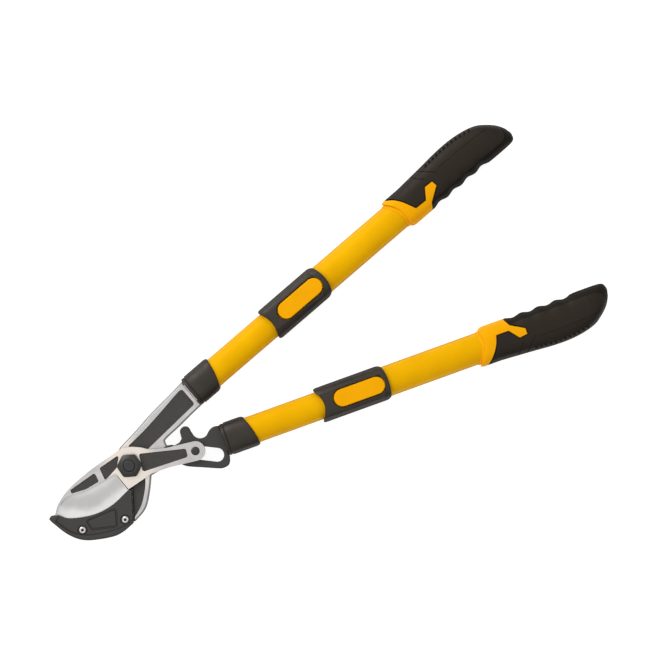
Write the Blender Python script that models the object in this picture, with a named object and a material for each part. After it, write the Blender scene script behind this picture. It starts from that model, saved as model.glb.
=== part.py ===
"""Telescopic anvil lopper in metres, +Z up, lying on its back and closed.

The Z axis is the main pivot and z = 0 is the floor, under the rear bolt head.
Handle A runs along +X. The lever with handle B turns about a pivot of its own
beside the main one, and its slot drives the pin in the blade's tail.
Each handle is modelled along X from the head end of its collar, with its back
on the side that faces away from the other handle.
"""

import math

import bmesh
import bpy
from mathutils import Matrix, Vector

MM = 0.001


def mm(*points):
    """Points written in millimetres, as metres."""
    return [tuple(value * MM for value in point) for point in points]


# Gap between pieces that seat on each other
FIT = 0.3 * MM

# Main pivot
PIVOT_BOLT_RADIUS = 6.8 * MM
PIVOT_BOLT_PROUD = 1.2 * MM
NUT_ACROSS_FLATS = 22.9 * MM
NUT_HEIGHT = 6.6 * MM
NUT_TURN = 23.5
BUSH_WALL = 1.9 * MM
REAR_WASHER_RADIUS = 13.0 * MM
REAR_WASHER_THICKNESS = 1.2 * MM
FRONT_WASHER_RADIUS = 11.2 * MM
FRONT_WASHER_THICKNESS = 1.0 * MM
FRICTION_WASHER_RADIUS = 16.5 * MM
FRICTION_WASHER_THICKNESS = 0.8 * MM

# Arm with the lower jaw
ARM_THICKNESS = 9.0 * MM
ARM_HUB_RADIUS = 21.5 * MM
ARM_BEVEL = 0.9 * MM
LUG_THICKNESS = 4.2 * MM
LUG_RADIUS = 9.6 * MM
TONGUE_THICKNESS = 4.5 * MM
RECESS_DEPTH = 0.7 * MM

# Blade and its tail
BLADE_THICKNESS = 5.0 * MM
EDGE_THICKNESS = 0.8 * MM
TAIL_PIN_PLACE = (68.6 * MM, -36.8 * MM)
TAIL_END_RADIUS = 11.4 * MM
TAIL_PIN_RADIUS = 3.0 * MM
TAIL_PIN_HEAD_RADIUS = 5.0 * MM
TAIL_PIN_HEAD_HEIGHT = 1.2 * MM
TAIL_WASHER_RADIUS = 9.5 * MM
TAIL_WASHER_THICKNESS = 1.3 * MM
ROLLER_RADIUS = 4.5 * MM

# Anvil
ANVIL_HEIGHT = 11.0 * MM
ANVIL_BEVEL = 1.4 * MM
ANVIL_RECESS = 0.8 * MM
ANVIL_SCREW_PLACES = mm((-90.2, -21.0), (-44.8, -44.1))
SCREW_RADIUS = 2.5 * MM
SCREW_HEAD_RADIUS = 4.4 * MM
SCREW_HEAD_HEIGHT = 2.5 * MM
SCREW_SOCKET_FLATS = 3.4 * MM
SCREW_SOCKET_DEPTH = 1.5 * MM
COUNTERBORE_RADIUS = 5.8 * MM
COUNTERBORE_DEPTH = 2.8 * MM

# Lever plate and its pivot
LEVER_PIVOT = (44.2 * MM, -21.5 * MM)
LEVER_TURN = -20.85
LEVER_BEVEL = 0.8 * MM
LEVER_BOSS_RADIUS = 11.0 * MM
LEVER_SWEEP_RADIUS = 17.0 * MM
LEVER_BOLT_RADIUS = 4.0 * MM
LEVER_HEAD_RADIUS = 6.4 * MM
LEVER_HEAD_HEIGHT = 2.2 * MM
LEVER_WASHER_RADIUS = 7.5 * MM
LEVER_WASHER_THICKNESS = 1.0 * MM
LEVER_NUT_FLATS = 13.0 * MM
LEVER_NUT_HEIGHT = 3.6 * MM
KNOB_RADIUS = 6.1 * MM
SCALLOP_RADIUS = 9.6 * MM
SLOT_WIDTH = 16.0 * MM
SLOT_ENDS_FROM_PIN = mm((-1.9, -1.2), (21.8, -13.0))

# Handles, measured from the head end of the collar
HANDLE_A_START = (109.2 * MM, 17.8 * MM)
HANDLE_B_START = (63.7 * MM, -5.1 * MM)
INNER_TUBE_HALF_WIDTH = 16.5 * MM
INNER_TUBE_HALF_HEIGHT = 11.5 * MM
TUBE_WALL = 1.2 * MM
PLUG_FLANGE = 2.5 * MM
PLUG_LENGTH = 16.0 * MM
PLUG_TO_GRIP = 5.0 * MM
TANG_LENGTH = 58.0 * MM
TANG_ROOT = 1.8 * MM
TANG_HALF_HEIGHT = 5.4 * MM
TANG_SIDE_GAP = 1.0 * MM
TANG_PIN_RADIUS = 2.5 * MM
TANG_PIN_STATION = 18.0 * MM
LOCK_PITCH = 65.0 * MM
LOCK_POSITIONS = 5

# Collar
COLLAR_SIDE_WALL = 2.7 * MM
COLLAR_FACE_WALL = 2.4 * MM
COLLAR_END_WALL = 2.5 * MM
COLLAR_LENGTH = 33.5 * MM
COLLAR_SLANT = 5.0 * MM
COLLAR_BULGE = 2.5 * MM

# Lock sleeve and its rocking button
SLEEVE_START = 118.0 * MM
SLEEVE_LENGTH = 80.5 * MM
SLEEVE_LIP = 10.5 * MM
SLEEVE_SIDE_WALL = 2.5 * MM
SLEEVE_BOTTOM_WALL = 2.3 * MM
SLEEVE_TOP_WALL = 5.2 * MM
SLEEVE_BULGE = 5.5 * MM
BUTTON_LENGTH = 61.0 * MM
BUTTON_WIDTH = 20.0 * MM
BUTTON_PAST_MIDDLE = 8.25 * MM
BUTTON_GAP = 0.8 * MM
BUTTON_THICKNESS = 2.6 * MM
BUTTON_PROUD = 1.2 * MM
HINGE_DEPTH = 3.3 * MM
HINGE_PIN_RADIUS = 1.25 * MM
HINGE_PIN_LENGTH = 26.0 * MM
HINGE_BLOCK_WIDTH = 12.0 * MM
LOCK_PIN_FROM_HINGE = 21.0 * MM
LOCK_PIN_RADIUS = 3.0 * MM
LOCK_HOLE_FIT = 0.6 * MM
SPRING_FROM_HINGE = 21.0 * MM
SPRING_LENGTH = 15.0 * MM
SPRING_WIDTH = 6.0 * MM
SPRING_THICKNESS = 0.5 * MM

# Grip
GRIP_MOUTH = 312.0 * MM
GRIP_MOUTH_SLANT = 5.0 * MM
GRIP_MOUTH_BULGE = 8.0 * MM
GRIP_CORE_WALL = 1.2 * MM
GRIP_CORE_LENGTH = 131.5 * MM
GRIP_CORE_END_WALL = 3.2 * MM
GRIP_COVER_WALL = 1.2 * MM
SCALLOP_PITCH = 21.0 * MM
SCALLOP_DEPTH = 2.2 * MM
SCALLOP_START = 40.5 * MM
SCALLOP_COUNT = 4

# Radii and widths that follow from the pieces that fit together
BUSH_INNER = PIVOT_BOLT_RADIUS + FIT
BUSH_OUTER = BUSH_INNER + BUSH_WALL
HUB_HOLE = BUSH_OUTER + FIT
SLOT_RADIUS = SLOT_WIDTH / 2
LEVER_HOLE = LEVER_BOLT_RADIUS + FIT
INNER_BORE_WIDTH = INNER_TUBE_HALF_WIDTH - TUBE_WALL
INNER_BORE_HEIGHT = INNER_TUBE_HALF_HEIGHT - TUBE_WALL
TANG_SHARE = math.sqrt(1 - (TANG_HALF_HEIGHT / INNER_BORE_HEIGHT) ** 2)
TANG_HALF_WIDTH = INNER_BORE_WIDTH * TANG_SHARE - TANG_SIDE_GAP
OUTER_BORE_WIDTH = INNER_TUBE_HALF_WIDTH + FIT
OUTER_BORE_HEIGHT = INNER_TUBE_HALF_HEIGHT + FIT
OUTER_TUBE_HALF_WIDTH = OUTER_BORE_WIDTH + TUBE_WALL
OUTER_TUBE_HALF_HEIGHT = OUTER_BORE_HEIGHT + TUBE_WALL
GRIP_BORE_WIDTH = OUTER_TUBE_HALF_WIDTH + FIT
GRIP_BORE_HEIGHT = OUTER_TUBE_HALF_HEIGHT + FIT
GRIP_CORE_WIDTH = GRIP_BORE_WIDTH + GRIP_CORE_WALL
GRIP_CORE_HEIGHT = GRIP_BORE_HEIGHT + GRIP_CORE_WALL
GRIP_HALF_HEIGHT = GRIP_CORE_HEIGHT + FIT + GRIP_COVER_WALL
COLLAR_HALF_WIDTH = OUTER_BORE_WIDTH + COLLAR_SIDE_WALL
COLLAR_HALF_HEIGHT = OUTER_BORE_HEIGHT + COLLAR_FACE_WALL
SLEEVE_HALF_WIDTH = GRIP_BORE_WIDTH + SLEEVE_SIDE_WALL
SLEEVE_BOTTOM = GRIP_BORE_HEIGHT + SLEEVE_BOTTOM_WALL
SLEEVE_TOP = GRIP_BORE_HEIGHT + SLEEVE_TOP_WALL
HINGE_HEIGHT = SLEEVE_TOP - HINGE_DEPTH

# Stations along the handle that follow from the pieces that fit together
SLEEVE_END = SLEEVE_START + SLEEVE_LENGTH
OUTER_TUBE_START = SLEEVE_START + SLEEVE_LIP
BUTTON_CENTRE = SLEEVE_START + SLEEVE_LENGTH / 2 + BUTTON_PAST_MIDDLE
LOCK_PIN_STATION = BUTTON_CENTRE - LOCK_PIN_FROM_HINGE
SPRING_CENTRE = BUTTON_CENTRE + SPRING_FROM_HINGE
GRIP_CORE_END = GRIP_MOUTH + GRIP_CORE_LENGTH
OUTER_TUBE_END = GRIP_CORE_END - GRIP_CORE_END_WALL - FIT
INNER_TUBE_END = OUTER_TUBE_END - PLUG_TO_GRIP - PLUG_FLANGE

# Heights over the floor, down from the middle of the tubes, where the arm's face is, and up again
ARM_TOP = GRIP_HALF_HEIGHT
ARM_Z = ARM_TOP - ARM_THICKNESS
REAR_WASHER_Z = ARM_Z - FIT - REAR_WASHER_THICKNESS
PIVOT_HEAD_HEIGHT = REAR_WASHER_Z - FIT
LUG_TOP = ARM_Z + LUG_THICKNESS
LEVER_Z = LUG_TOP + FIT
TONGUE_TOP = ARM_Z + TONGUE_THICKNESS
ANVIL_Z = TONGUE_TOP + FIT
ANVIL_TOP = ANVIL_Z + ANVIL_HEIGHT
ANVIL_FLOOR = ANVIL_TOP - ANVIL_RECESS
BLADE_Z = ARM_TOP + FIT
BLADE_TOP = BLADE_Z + BLADE_THICKNESS
FRONT_WASHER_Z = BLADE_TOP + FIT
NUT_Z = FRONT_WASHER_Z + FRONT_WASHER_THICKNESS + FIT
NUT_TOP = NUT_Z + NUT_HEIGHT
AXIS_Z = ARM_TOP

# Outlines of the head, counter-clockwise where they close
ARM_TOP_EDGE = mm((91.4, 32.6), (58.0, 30.1), (31.4, 26.4), (5.6, 23.6))
ARM_NOTCH = mm((47.1, -9.8), (48.5, -5.5), (50.5, -4.1), (57.1, -3.6))
ARM_LOWER_EDGE = mm((57.1, -3.6), (73.1, -3.2), (93.1, -1.7))
ARM_END_SPREAD = (16.7 * MM, -18.7 * MM)
JAW_INNER = mm((-21.5, -23.2), (-45.5, -24.0), (-67.6, -18.2), (-88.5, -5.0), (-97.0, 3.0))
TONGUE_OUTER = mm((-107.8, -2.0), (-104.3, -14.4), (-93.4, -31.4), (-70.7, -46.4), (-56.6, -51.2),
                  (-41.0, -51.4))
JAW_OUTER = mm((-37.7, -53.2), (-24.8, -51.5), (-14.9, -47.4), (-1.1, -36.5), (10.7, -25.0))
ARM_PANEL = mm((103.0, 28.3, 3), (89.3, 26.6, 0), (66.9, 22.4, 0), (40.4, 18.7, 0), (11.0, 16.2, 2),
               (24.0, 0.4, 2), (48.8, 1.3, 0), (79.2, 4.0, 0), (103.0, 5.0, 3))
JAW_PANEL = mm((6.0, -19.5), (1.5, -25.5), (-5.5, -32.7), (-19.7, -43.3), (-33.9, -48.8), (-42.0, -50.5),
               (-25.0, -24.0), (-18.0, -19.0))

BLADE_BACK = mm((46.2, -12.6), (29.9, -0.7), (23.1, 7.8), (13.6, 16.7), (4.0, 21.6), (-5.5, 22.5),
                (-27.2, 25.0), (-44.3, 26.1), (-64.7, 26.0), (-78.9, 24.2), (-92.9, 19.8), (-103.3, 12.8))
BLADE_EDGE = mm((-19.2, -19.9), (-45.5, -21.0), (-68.8, -15.6), (-91.3, -2.0), (-99.9, 8.8))
BLADE_GRIND = mm((-18.4, 3.8), (-38.0, 7.3), (-56.5, 11.2), (-76.0, 19.5), (-102.6, 13.0))
BLADE_HEEL = mm((5.1, -22.7), (12.2, -23.2), (33.9, -31.7))
FIRST_PANEL = mm((-3.7, 17.4, 1.5), (-28.5, 20.2, 2), (-31.8, 6.6, 1.5), (-13.3, 8.3, 2))
SECOND_PANEL = mm((-36.6, 19.9, 2), (-70.6, 23.2, 1.2), (-72.0, 19.2, 1), (-56.2, 12.3, 6), (-39.3, 9.3, 2))
TAIL_PANEL = mm((17.4, 3.0, 2), (12.6, -6.9, 0), (7.6, -15.4, 2.5), (57.4, -36.2, 2.5), (61.8, -27.6, 2.5))

ANVIL_HOOK = mm((-104.2, 13.4), (-107.6, 15.2), (-111.3, 13.9))
ANVIL_OUTER = mm((-111.2, 8.8), (-106.0, -14.6), (-94.8, -32.6), (-71.5, -48.2), (-56.8, -53.2),
                 (-40.4, -53.4))
ANVIL_REAR = mm((-38.6, -49.8), (-17.1, -22.7))
ANVIL_RIM_INNER = mm((-107.6, 7.1), (-100.9, -16.0), (-86.7, -32.0), (-62.8, -45.5), (-45.5, -50.8),
                     (-36.0, -51.0))
ANVIL_PANEL = mm((-79.7, -16.4, 1), (-80.8, -28.1, 3), (-57.1, -44.1, 2), (-45.0, -27.8, 1.5))

LEVER_LOWER = mm((7.0, -14.3), (13.8, -19.7), (31.1, -27.3), (45.4, -33.6), (51.6, -35.4), (58.5, -34.4),
                 (61.8, -30.6))
LEVER_END_SPREAD = (-19.9 * MM, 15.9 * MM)
LEVER_SHOULDER = mm((54.4, 13.1))
LEVER_KNOB_FOOT = mm((17.6, 13.0), (13.7, 9.9))
SCALLOP_CENTRE, KNOB_CENTRE = mm((41.0, 15.3), (24.3, 19.4))

# Outlines of the grip by distance from its mouth: how far its back and its finger side stand out from
# the core's sides, and how far its height falls short of the full height
GRIP_BACK = mm((22, 2.9), (44, 4.3), (62, 5.5), (80, 6.9), (96, 7.4), (108, 6.9), (120, 5.4), (132, 2.6),
               (142, -1.8), (152, -9.6), (158, -16.0), (162.5, -23.5), (165, -30.0))
GRIP_FINGER = mm((22, 2.9), (40, 2.8), (108, 2.8), (128, 3.7), (146, 3.8), (154, 3.6), (159, 3.1),
                 (162.5, 1.5), (165, -2.5))
GRIP_SHORTFALL = mm((22, 0), (128, 0), (140, 0.6), (150, 2.8), (158, 7.0), (162.5, 10.5), (165, 13.0))
# Yellow part of the grip, which runs into a prong between the black covers
GRIP_WINDOW = mm((-12, 32), (5.2, 19.8), (16.7, 7.0), (25.2, -9.2), (40.0, -10.1), (48.7, 2.9),
                 (59.2, 2.1), (59.0, -5.5), (43.5, -15.1), (38.8, -22.7), (38.8, -32), (-12, -32))

TUBE_FACES = 24
GRIP_FACES = 16


def reset_scene():
    """Clears the scene that the file starts with."""
    for existing in list(bpy.data.objects):
        bpy.data.objects.remove(existing, do_unlink=True)


def finish(name, colour, roughness, metallic=0.0):
    """One Principled material."""
    made = bpy.data.materials.new(name)
    made.use_nodes = True
    shader = made.node_tree.nodes["Principled BSDF"]
    shader.inputs["Base Color"].default_value = (*colour, 1.0)
    shader.inputs["Roughness"].default_value = roughness
    shader.inputs["Metallic"].default_value = metallic
    return made


def arc(centre, radius, start, end, step=20.0):
    """Points on a circle from one angle to another, in degrees."""
    count = max(2, math.ceil(abs(end - start) / step))
    angles = [math.radians(start + (end - start) * index / count) for index in range(count + 1)]
    return [(centre[0] + radius * math.cos(a), centre[1] + radius * math.sin(a)) for a in angles]


def circle(centre, radius, faces=24):
    """A closed circle."""
    return arc(centre, radius, 0, 360, 360 / faces)[:-1]


def hexagon(centre, across_flats, turn=0.0):
    """A closed hexagon with one corner at the angle turn."""
    return arc(centre, across_flats / math.sqrt(3), turn, turn + 360, 60)[:-1]


def smooth(points, steps=4):
    """A smooth curve through the points."""
    path = [Vector(point) for point in points]
    path = [2 * path[0] - path[1]] + path + [2 * path[-1] - path[-2]]
    curve = []
    for a, b, c, d in zip(path, path[1:], path[2:], path[3:]):
        for index in range(steps):
            t = index / steps
            square = (2 * a - 5 * b + 4 * c - d) * t * t
            cube = (3 * b - a - 3 * c + d) * t * t * t
            curve.append(tuple((2 * b + (c - a) * t + square + cube) / 2))
    curve.append(tuple(path[-2]))
    return curve


def rounded(corners, step=30.0):
    """A closed outline whose third value at each corner is its radius."""
    outline = []
    for index, (x, y, radius) in enumerate(corners):
        here = Vector((x, y))
        if radius == 0:
            outline.append((x, y))
            continue
        back = (Vector(corners[index - 1][:2]) - here).normalized()
        ahead = (Vector(corners[(index + 1) % len(corners)][:2]) - here).normalized()
        half = back.angle(ahead) / 2
        centre = here + (back + ahead).normalized() * radius / math.sin(half)
        reach = radius / math.tan(half)
        start = here + back * reach - centre
        turn = math.pi - 2 * half
        if back.cross(ahead) > 0:
            turn = -turn
        first = math.degrees(math.atan2(start.y, start.x))
        outline += arc(centre, radius, first, first + math.degrees(turn), step)
    return outline


def moved_out(path, distance, closed=False):
    """The path shifted to its right by the distance."""
    shifted = []
    last = len(path) - 1
    for index, point in enumerate(path):
        before = path[index - 1] if closed or index > 0 else point
        after = path[(index + 1) % len(path)] if closed or index < last else point
        here = Vector(point)
        incoming = (here - Vector(before)).normalized()
        outgoing = (Vector(after) - here).normalized()
        along = (incoming + outgoing).normalized()
        stretch = 1.0
        if incoming.length > 0 and outgoing.length > 0:
            stretch = 1 / max(0.5, along.dot(incoming))
        side = Vector((along.y, -along.x))
        shifted.append(tuple(here + side * distance * stretch))
    return shifted


def add_prism(bm, outline, low, high):
    """Adds an outline extruded from one height to another."""
    base = bm.faces.new([bm.verts.new((x, y, low)) for x, y in outline])
    grown = bmesh.ops.extrude_face_region(bm, geom=[base])
    risen = [item for item in grown["geom"] if isinstance(item, bmesh.types.BMVert)]
    bmesh.ops.translate(bm, vec=(0, 0, high - low), verts=risen)


def prisms(*solids):
    """A mesh of one or more prisms that don't meet."""
    bm = bmesh.new()
    for outline, low, high in solids:
        add_prism(bm, outline, low, high)
    return bm


def turned(profile, centre=(0.0, 0.0), faces=24):
    """A profile of radius and height turned about a vertical axis, closed or from axis to axis."""
    bm = bmesh.new()
    loop = [bm.verts.new((centre[0] + radius, centre[1], height)) for radius, height in profile]
    first = 1 if profile[0][0] == 0 else 0
    edges = [bm.edges.new((loop[index - 1], loop[index])) for index in range(first, len(loop))]
    bmesh.ops.spin(bm, geom=loop + edges, cent=(*centre, 0), axis=(0, 0, 1), angle=math.tau, steps=faces,
                   use_merge=True)
    bmesh.ops.remove_doubles(bm, verts=bm.verts, dist=0.00001)
    return bm


def ring(centre, inner, outer, low, high, faces=24):
    """A flat ring."""
    return turned([(inner, low), (outer, low), (outer, high), (inner, high)], centre, faces)


def loft(rings):
    """A closed solid through rings of equal count whose ends are ruled across their width."""
    bm = bmesh.new()
    loops = [[bm.verts.new(point) for point in points] for points in rings]
    count = len(loops[0])
    for here, after in zip(loops, loops[1:]):
        for index in range(count):
            further = (index + 1) % count
            bm.faces.new((here[index], here[further], after[further], after[index]))
    for loop in (loops[0], loops[-1]):
        for index in range(count // 2):
            corners = [loop[index], loop[index + 1], loop[(count - index - 1) % count], loop[-index]]
            bm.faces.new(list(dict.fromkeys(corners)))
    bmesh.ops.connect_verts_nonplanar(bm, angle_limit=0.001, faces=bm.faces)
    return bm


def section(half_width, top, bottom, top_power=2.0, bottom_power=2.0, faces=TUBE_FACES, centre=0.0):
    """A cross-section as points across and up, of two half superellipses."""
    half = faces // 2
    shares = [round(math.cos(math.pi * index / half), 6) for index in range(half + 1)]
    upper = [(centre + half_width * s, top * (1 - abs(s) ** top_power) ** (1 / top_power)) for s in shares]
    lower = [(centre + half_width * s, -bottom * (1 - abs(s) ** bottom_power) ** (1 / bottom_power))
             for s in shares]
    return upper + lower[-2:0:-1]


def bar(shape, start, end, side):
    """A section carried along X between two stations, each a length or a rule of the place across."""
    rings = []
    for station in (start, end):
        rings.append([(station(w) if callable(station) else station, side * w, z) for w, z in shape])
    return loft(rings)


def oval_bar(half_width, half_height, start, end, side=1):
    """An oval bar."""
    return bar(section(half_width, half_height, half_height), start, end, side)


def block(low, high):
    """A box between two corners."""
    (x0, y0, z0), (x1, y1, z1) = low, high
    return prisms(([(x0, y0), (x1, y0), (x1, y1), (x0, y1)], z0, z1))


def cross_rod(radius, station, height, low, high, faces=12):
    """A round rod that lies across the handle."""
    bm = prisms((circle((0, 0), radius, faces), low, high))
    for vertex in bm.verts:
        across, up, along = vertex.co
        vertex.co = (station + across, along, height - up)
    return bm


def piece(name, bm, material, parent=None, bevel=0.0):
    """Makes a named object from a mesh under construction."""
    bmesh.ops.recalc_face_normals(bm, faces=bm.faces)
    mesh = bpy.data.meshes.new(name)
    bm.to_mesh(mesh)
    bm.free()
    made = bpy.data.objects.new(name, mesh)
    bpy.context.scene.collection.objects.link(made)
    made.parent = parent
    if material is not None:
        mesh.materials.append(material)
        mesh.shade_smooth()
        mesh.set_sharp_from_angle(angle=math.radians(35))
    if bevel > 0:
        rounding = made.modifiers.new("edge", "BEVEL")
        rounding.width = bevel
        rounding.segments = 1
        rounding.limit_method = "ANGLE"
        rounding.angle_limit = math.radians(40)
    return made


def shape_with(target, name, bm, operation="DIFFERENCE"):
    """Cuts a hidden tool out of the target, or joins it on."""
    tool = piece(f"{target.name}_{name}", bm, None, target.parent)
    tool.hide_render = True
    tool.display_type = "WIRE"
    change = target.modifiers.new(name, "BOOLEAN")
    change.operation = operation
    change.solver = "EXACT"
    change.object = tool


def axis_empty(name, place, turn=0.0, parent=None):
    """An empty that carries the pieces of one moving body."""
    made = bpy.data.objects.new(name, None)
    bpy.context.scene.collection.objects.link(made)
    made.parent = parent
    made.location = place
    made.rotation_euler = (0, 0, math.radians(turn))
    return made


def blade_edge():
    """The cutting edge from heel to tip."""
    return smooth(BLADE_EDGE)


def anvil_outline():
    """The anvil, whose working edge follows the blade's with a gap."""
    working = moved_out(blade_edge()[::-1], FIT)
    return ANVIL_HOOK + smooth(ANVIL_OUTER) + ANVIL_REAR + working[::-1]


def arm_outline():
    """The arm with its jaw, hub and lug."""
    end = HANDLE_A_START[0] - FIT
    upper, lower = [(end, HANDLE_A_START[1] + across) for across in ARM_END_SPREAD]
    top = [upper] + smooth(ARM_TOP_EDGE, 2)
    hub = arc((0, 0), ARM_HUB_RADIUS, 105, 215)
    jaw = smooth(JAW_INNER, 3) + smooth(TONGUE_OUTER, 3) + smooth(JAW_OUTER, 3)
    lug = arc(LEVER_PIVOT, LUG_RADIUS, -102, 60)
    return top + hub + jaw + lug + smooth(ARM_NOTCH, 3)[:-1] + ARM_LOWER_EDGE + [lower]


def add_tang(head, start):
    """Joins on the tang that the handle's tube is pinned to, drilled for its pin."""
    x, y = start
    low = (x - TANG_ROOT, y - TANG_HALF_WIDTH, AXIS_Z - TANG_HALF_HEIGHT)
    high = (x + TANG_LENGTH, y + TANG_HALF_WIDTH, AXIS_Z + TANG_HALF_HEIGHT)
    shape_with(head, "tang", block(low, high), "UNION")
    hole = cross_rod(TANG_PIN_RADIUS + FIT, x + TANG_PIN_STATION, AXIS_Z, y - COLLAR_HALF_WIDTH,
                     y + COLLAR_HALF_WIDTH)
    shape_with(head, "pin_hole", hole)


def make_arm(steel):
    """The forged arm: seat for the anvil, step for the lever plate, recesses, holes and tang."""
    arm = piece("anvil_arm", prisms((arm_outline(), ARM_Z, ARM_TOP)), steel, None, ARM_BEVEL)
    add_tang(arm, HANDLE_A_START)
    seat = moved_out(anvil_outline(), FIT, closed=True)
    shape_with(arm, "seat", prisms((seat, TONGUE_TOP, ARM_TOP + ARM_THICKNESS)))
    shape_with(arm, "boss_step", prisms((circle(LEVER_PIVOT, LEVER_BOSS_RADIUS + 2 * FIT), LUG_TOP,
                                         ARM_TOP + ARM_THICKNESS)))
    sweep = arc(LEVER_PIVOT, LEVER_SWEEP_RADIUS, 183, 350) + [LEVER_PIVOT]
    shape_with(arm, "sweep_step", prisms((sweep, LUG_TOP, ARM_TOP + ARM_THICKNESS)))
    shape_with(arm, "panels", prisms((rounded(ARM_PANEL), ARM_TOP - RECESS_DEPTH, ARM_TOP + ARM_THICKNESS),
                                     (JAW_PANEL, ARM_TOP - RECESS_DEPTH, ARM_TOP + ARM_THICKNESS)))
    pocket = ARM_TOP - FIT - FRICTION_WASHER_THICKNESS
    shape_with(arm, "washer_pocket", prisms((circle((0, 0), FRICTION_WASHER_RADIUS + FIT), pocket,
                                             ARM_TOP + ARM_THICKNESS)))
    holes = [(circle((0, 0), HUB_HOLE), 0, ARM_TOP + ARM_THICKNESS),
             (circle(LEVER_PIVOT, LEVER_HOLE), 0, ARM_TOP)]
    holes += [(circle(place, SCREW_RADIUS + FIT, 16), 0, ARM_TOP) for place in ANVIL_SCREW_PLACES]
    shape_with(arm, "holes", prisms(*holes))


def make_anvil(black, bright):
    """The anvil casting and its two socket screws."""
    anvil = piece("anvil", prisms((anvil_outline(), ANVIL_Z, ANVIL_TOP)), black, None, ANVIL_BEVEL)
    over = ANVIL_TOP + ANVIL_HEIGHT
    open_side = moved_out(blade_edge(), 6 * FIT)[::-1]
    floor = smooth(ANVIL_RIM_INNER, 3) + mm((-10.0, -22.0)) + open_side[::-1]
    shape_with(anvil, "floor", prisms((floor, ANVIL_FLOOR, over)))
    shape_with(anvil, "panel", prisms((rounded(ANVIL_PANEL), ANVIL_FLOOR - ANVIL_RECESS / 2, over)))
    head_seat = ANVIL_FLOOR - COUNTERBORE_DEPTH
    shape_with(anvil, "counterbores", prisms(*[(circle(place, COUNTERBORE_RADIUS, 24), head_seat, over)
                                               for place in ANVIL_SCREW_PLACES]))
    shape_with(anvil, "holes", prisms(*[(circle(place, SCREW_RADIUS + FIT, 16), 0, over)
                                        for place in ANVIL_SCREW_PLACES]))
    for name, place in zip(("front", "rear"), ANVIL_SCREW_PLACES):
        make_screw(f"anvil_screw_{name}", place, head_seat + FIT, bright)


def make_screw(name, place, seat, material):
    """A socket screw on a vertical axis, with its head on a seat."""
    foot = ARM_Z + FIT
    head = seat + SCREW_HEAD_HEIGHT
    profile = [(0, foot), (SCREW_RADIUS, foot), (SCREW_RADIUS, seat), (SCREW_HEAD_RADIUS, seat),
               (SCREW_HEAD_RADIUS, head - SCREW_SOCKET_DEPTH), (SCREW_SOCKET_FLATS, head), (0, head)]
    screw = piece(name, turned(profile, place, 24), material)
    socket = prisms((hexagon(place, SCREW_SOCKET_FLATS), head - SCREW_SOCKET_DEPTH, head + SCREW_HEAD_HEIGHT))
    shape_with(screw, "socket", socket)


def blade_body():
    """The blade as a plate that thins on both sides from its grind line to the cutting edge."""
    middle = BLADE_Z + BLADE_THICKNESS / 2
    lean = math.degrees(math.atan2(TAIL_PIN_PLACE[1], TAIL_PIN_PLACE[0]))
    thick = arc(TAIL_PIN_PLACE, TAIL_END_RADIUS, lean - 90, lean + 90, 15) + smooth(BLADE_BACK)
    ground = smooth(BLADE_GRIND)[::-1]
    cut = blade_edge()[::-1]
    bm = bmesh.new()
    sides = []
    for sign in (-1, 1):
        face = middle + sign * BLADE_THICKNESS / 2
        back = [bm.verts.new((x, y, face)) for x, y in thick]
        grind = [bm.verts.new((x, y, face)) for x, y in ground]
        heel = [bm.verts.new((x, y, face)) for x, y in [cut[-1]] + BLADE_HEEL]
        edge = [bm.verts.new((x, y, middle + sign * EDGE_THICKNESS / 2)) for x, y in cut]
        bm.faces.new(back + grind + heel)
        for index in range(len(edge) - 1):
            bm.faces.new((grind[index], edge[index], edge[index + 1], grind[index + 1]))
        bm.faces.new((grind[-1], edge[-1], heel[0]))
        sides.append((back + grind[:1] + edge, heel + back[:1]))
    (low_rim, low_heel), (high_rim, high_heel) = sides
    add_wall(bm, low_rim, high_rim)
    bm.faces.new((low_rim[-1], low_heel[0], low_heel[1]))
    bm.faces.new((low_rim[-1], low_heel[1], high_heel[1], high_rim[-1]))
    bm.faces.new((high_rim[-1], high_heel[1], high_heel[0]))
    add_wall(bm, low_heel[1:], high_heel[1:])
    bmesh.ops.connect_verts_nonplanar(bm, angle_limit=0.001, faces=bm.faces)
    return bm


def add_wall(bm, low, high):
    """Adds the faces between two rows of corners."""
    for index in range(len(low) - 1):
        bm.faces.new((low[index], low[index + 1], high[index + 1], high[index]))


def make_blade(steel, parent):
    """The blade with its recessed panels and the holes for bush and tail pin."""
    blade = piece("blade", blade_body(), steel, parent)
    over = BLADE_TOP + BLADE_THICKNESS
    panels = [(rounded(shape), BLADE_TOP - RECESS_DEPTH, over)
              for shape in (FIRST_PANEL, SECOND_PANEL, TAIL_PANEL)]
    shape_with(blade, "panels", prisms(*panels))
    shape_with(blade, "holes", prisms((circle((0, 0), HUB_HOLE), 0, over),
                                      (circle(TAIL_PIN_PLACE, TAIL_PIN_RADIUS + FIT, 20), 0, over)))


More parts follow.
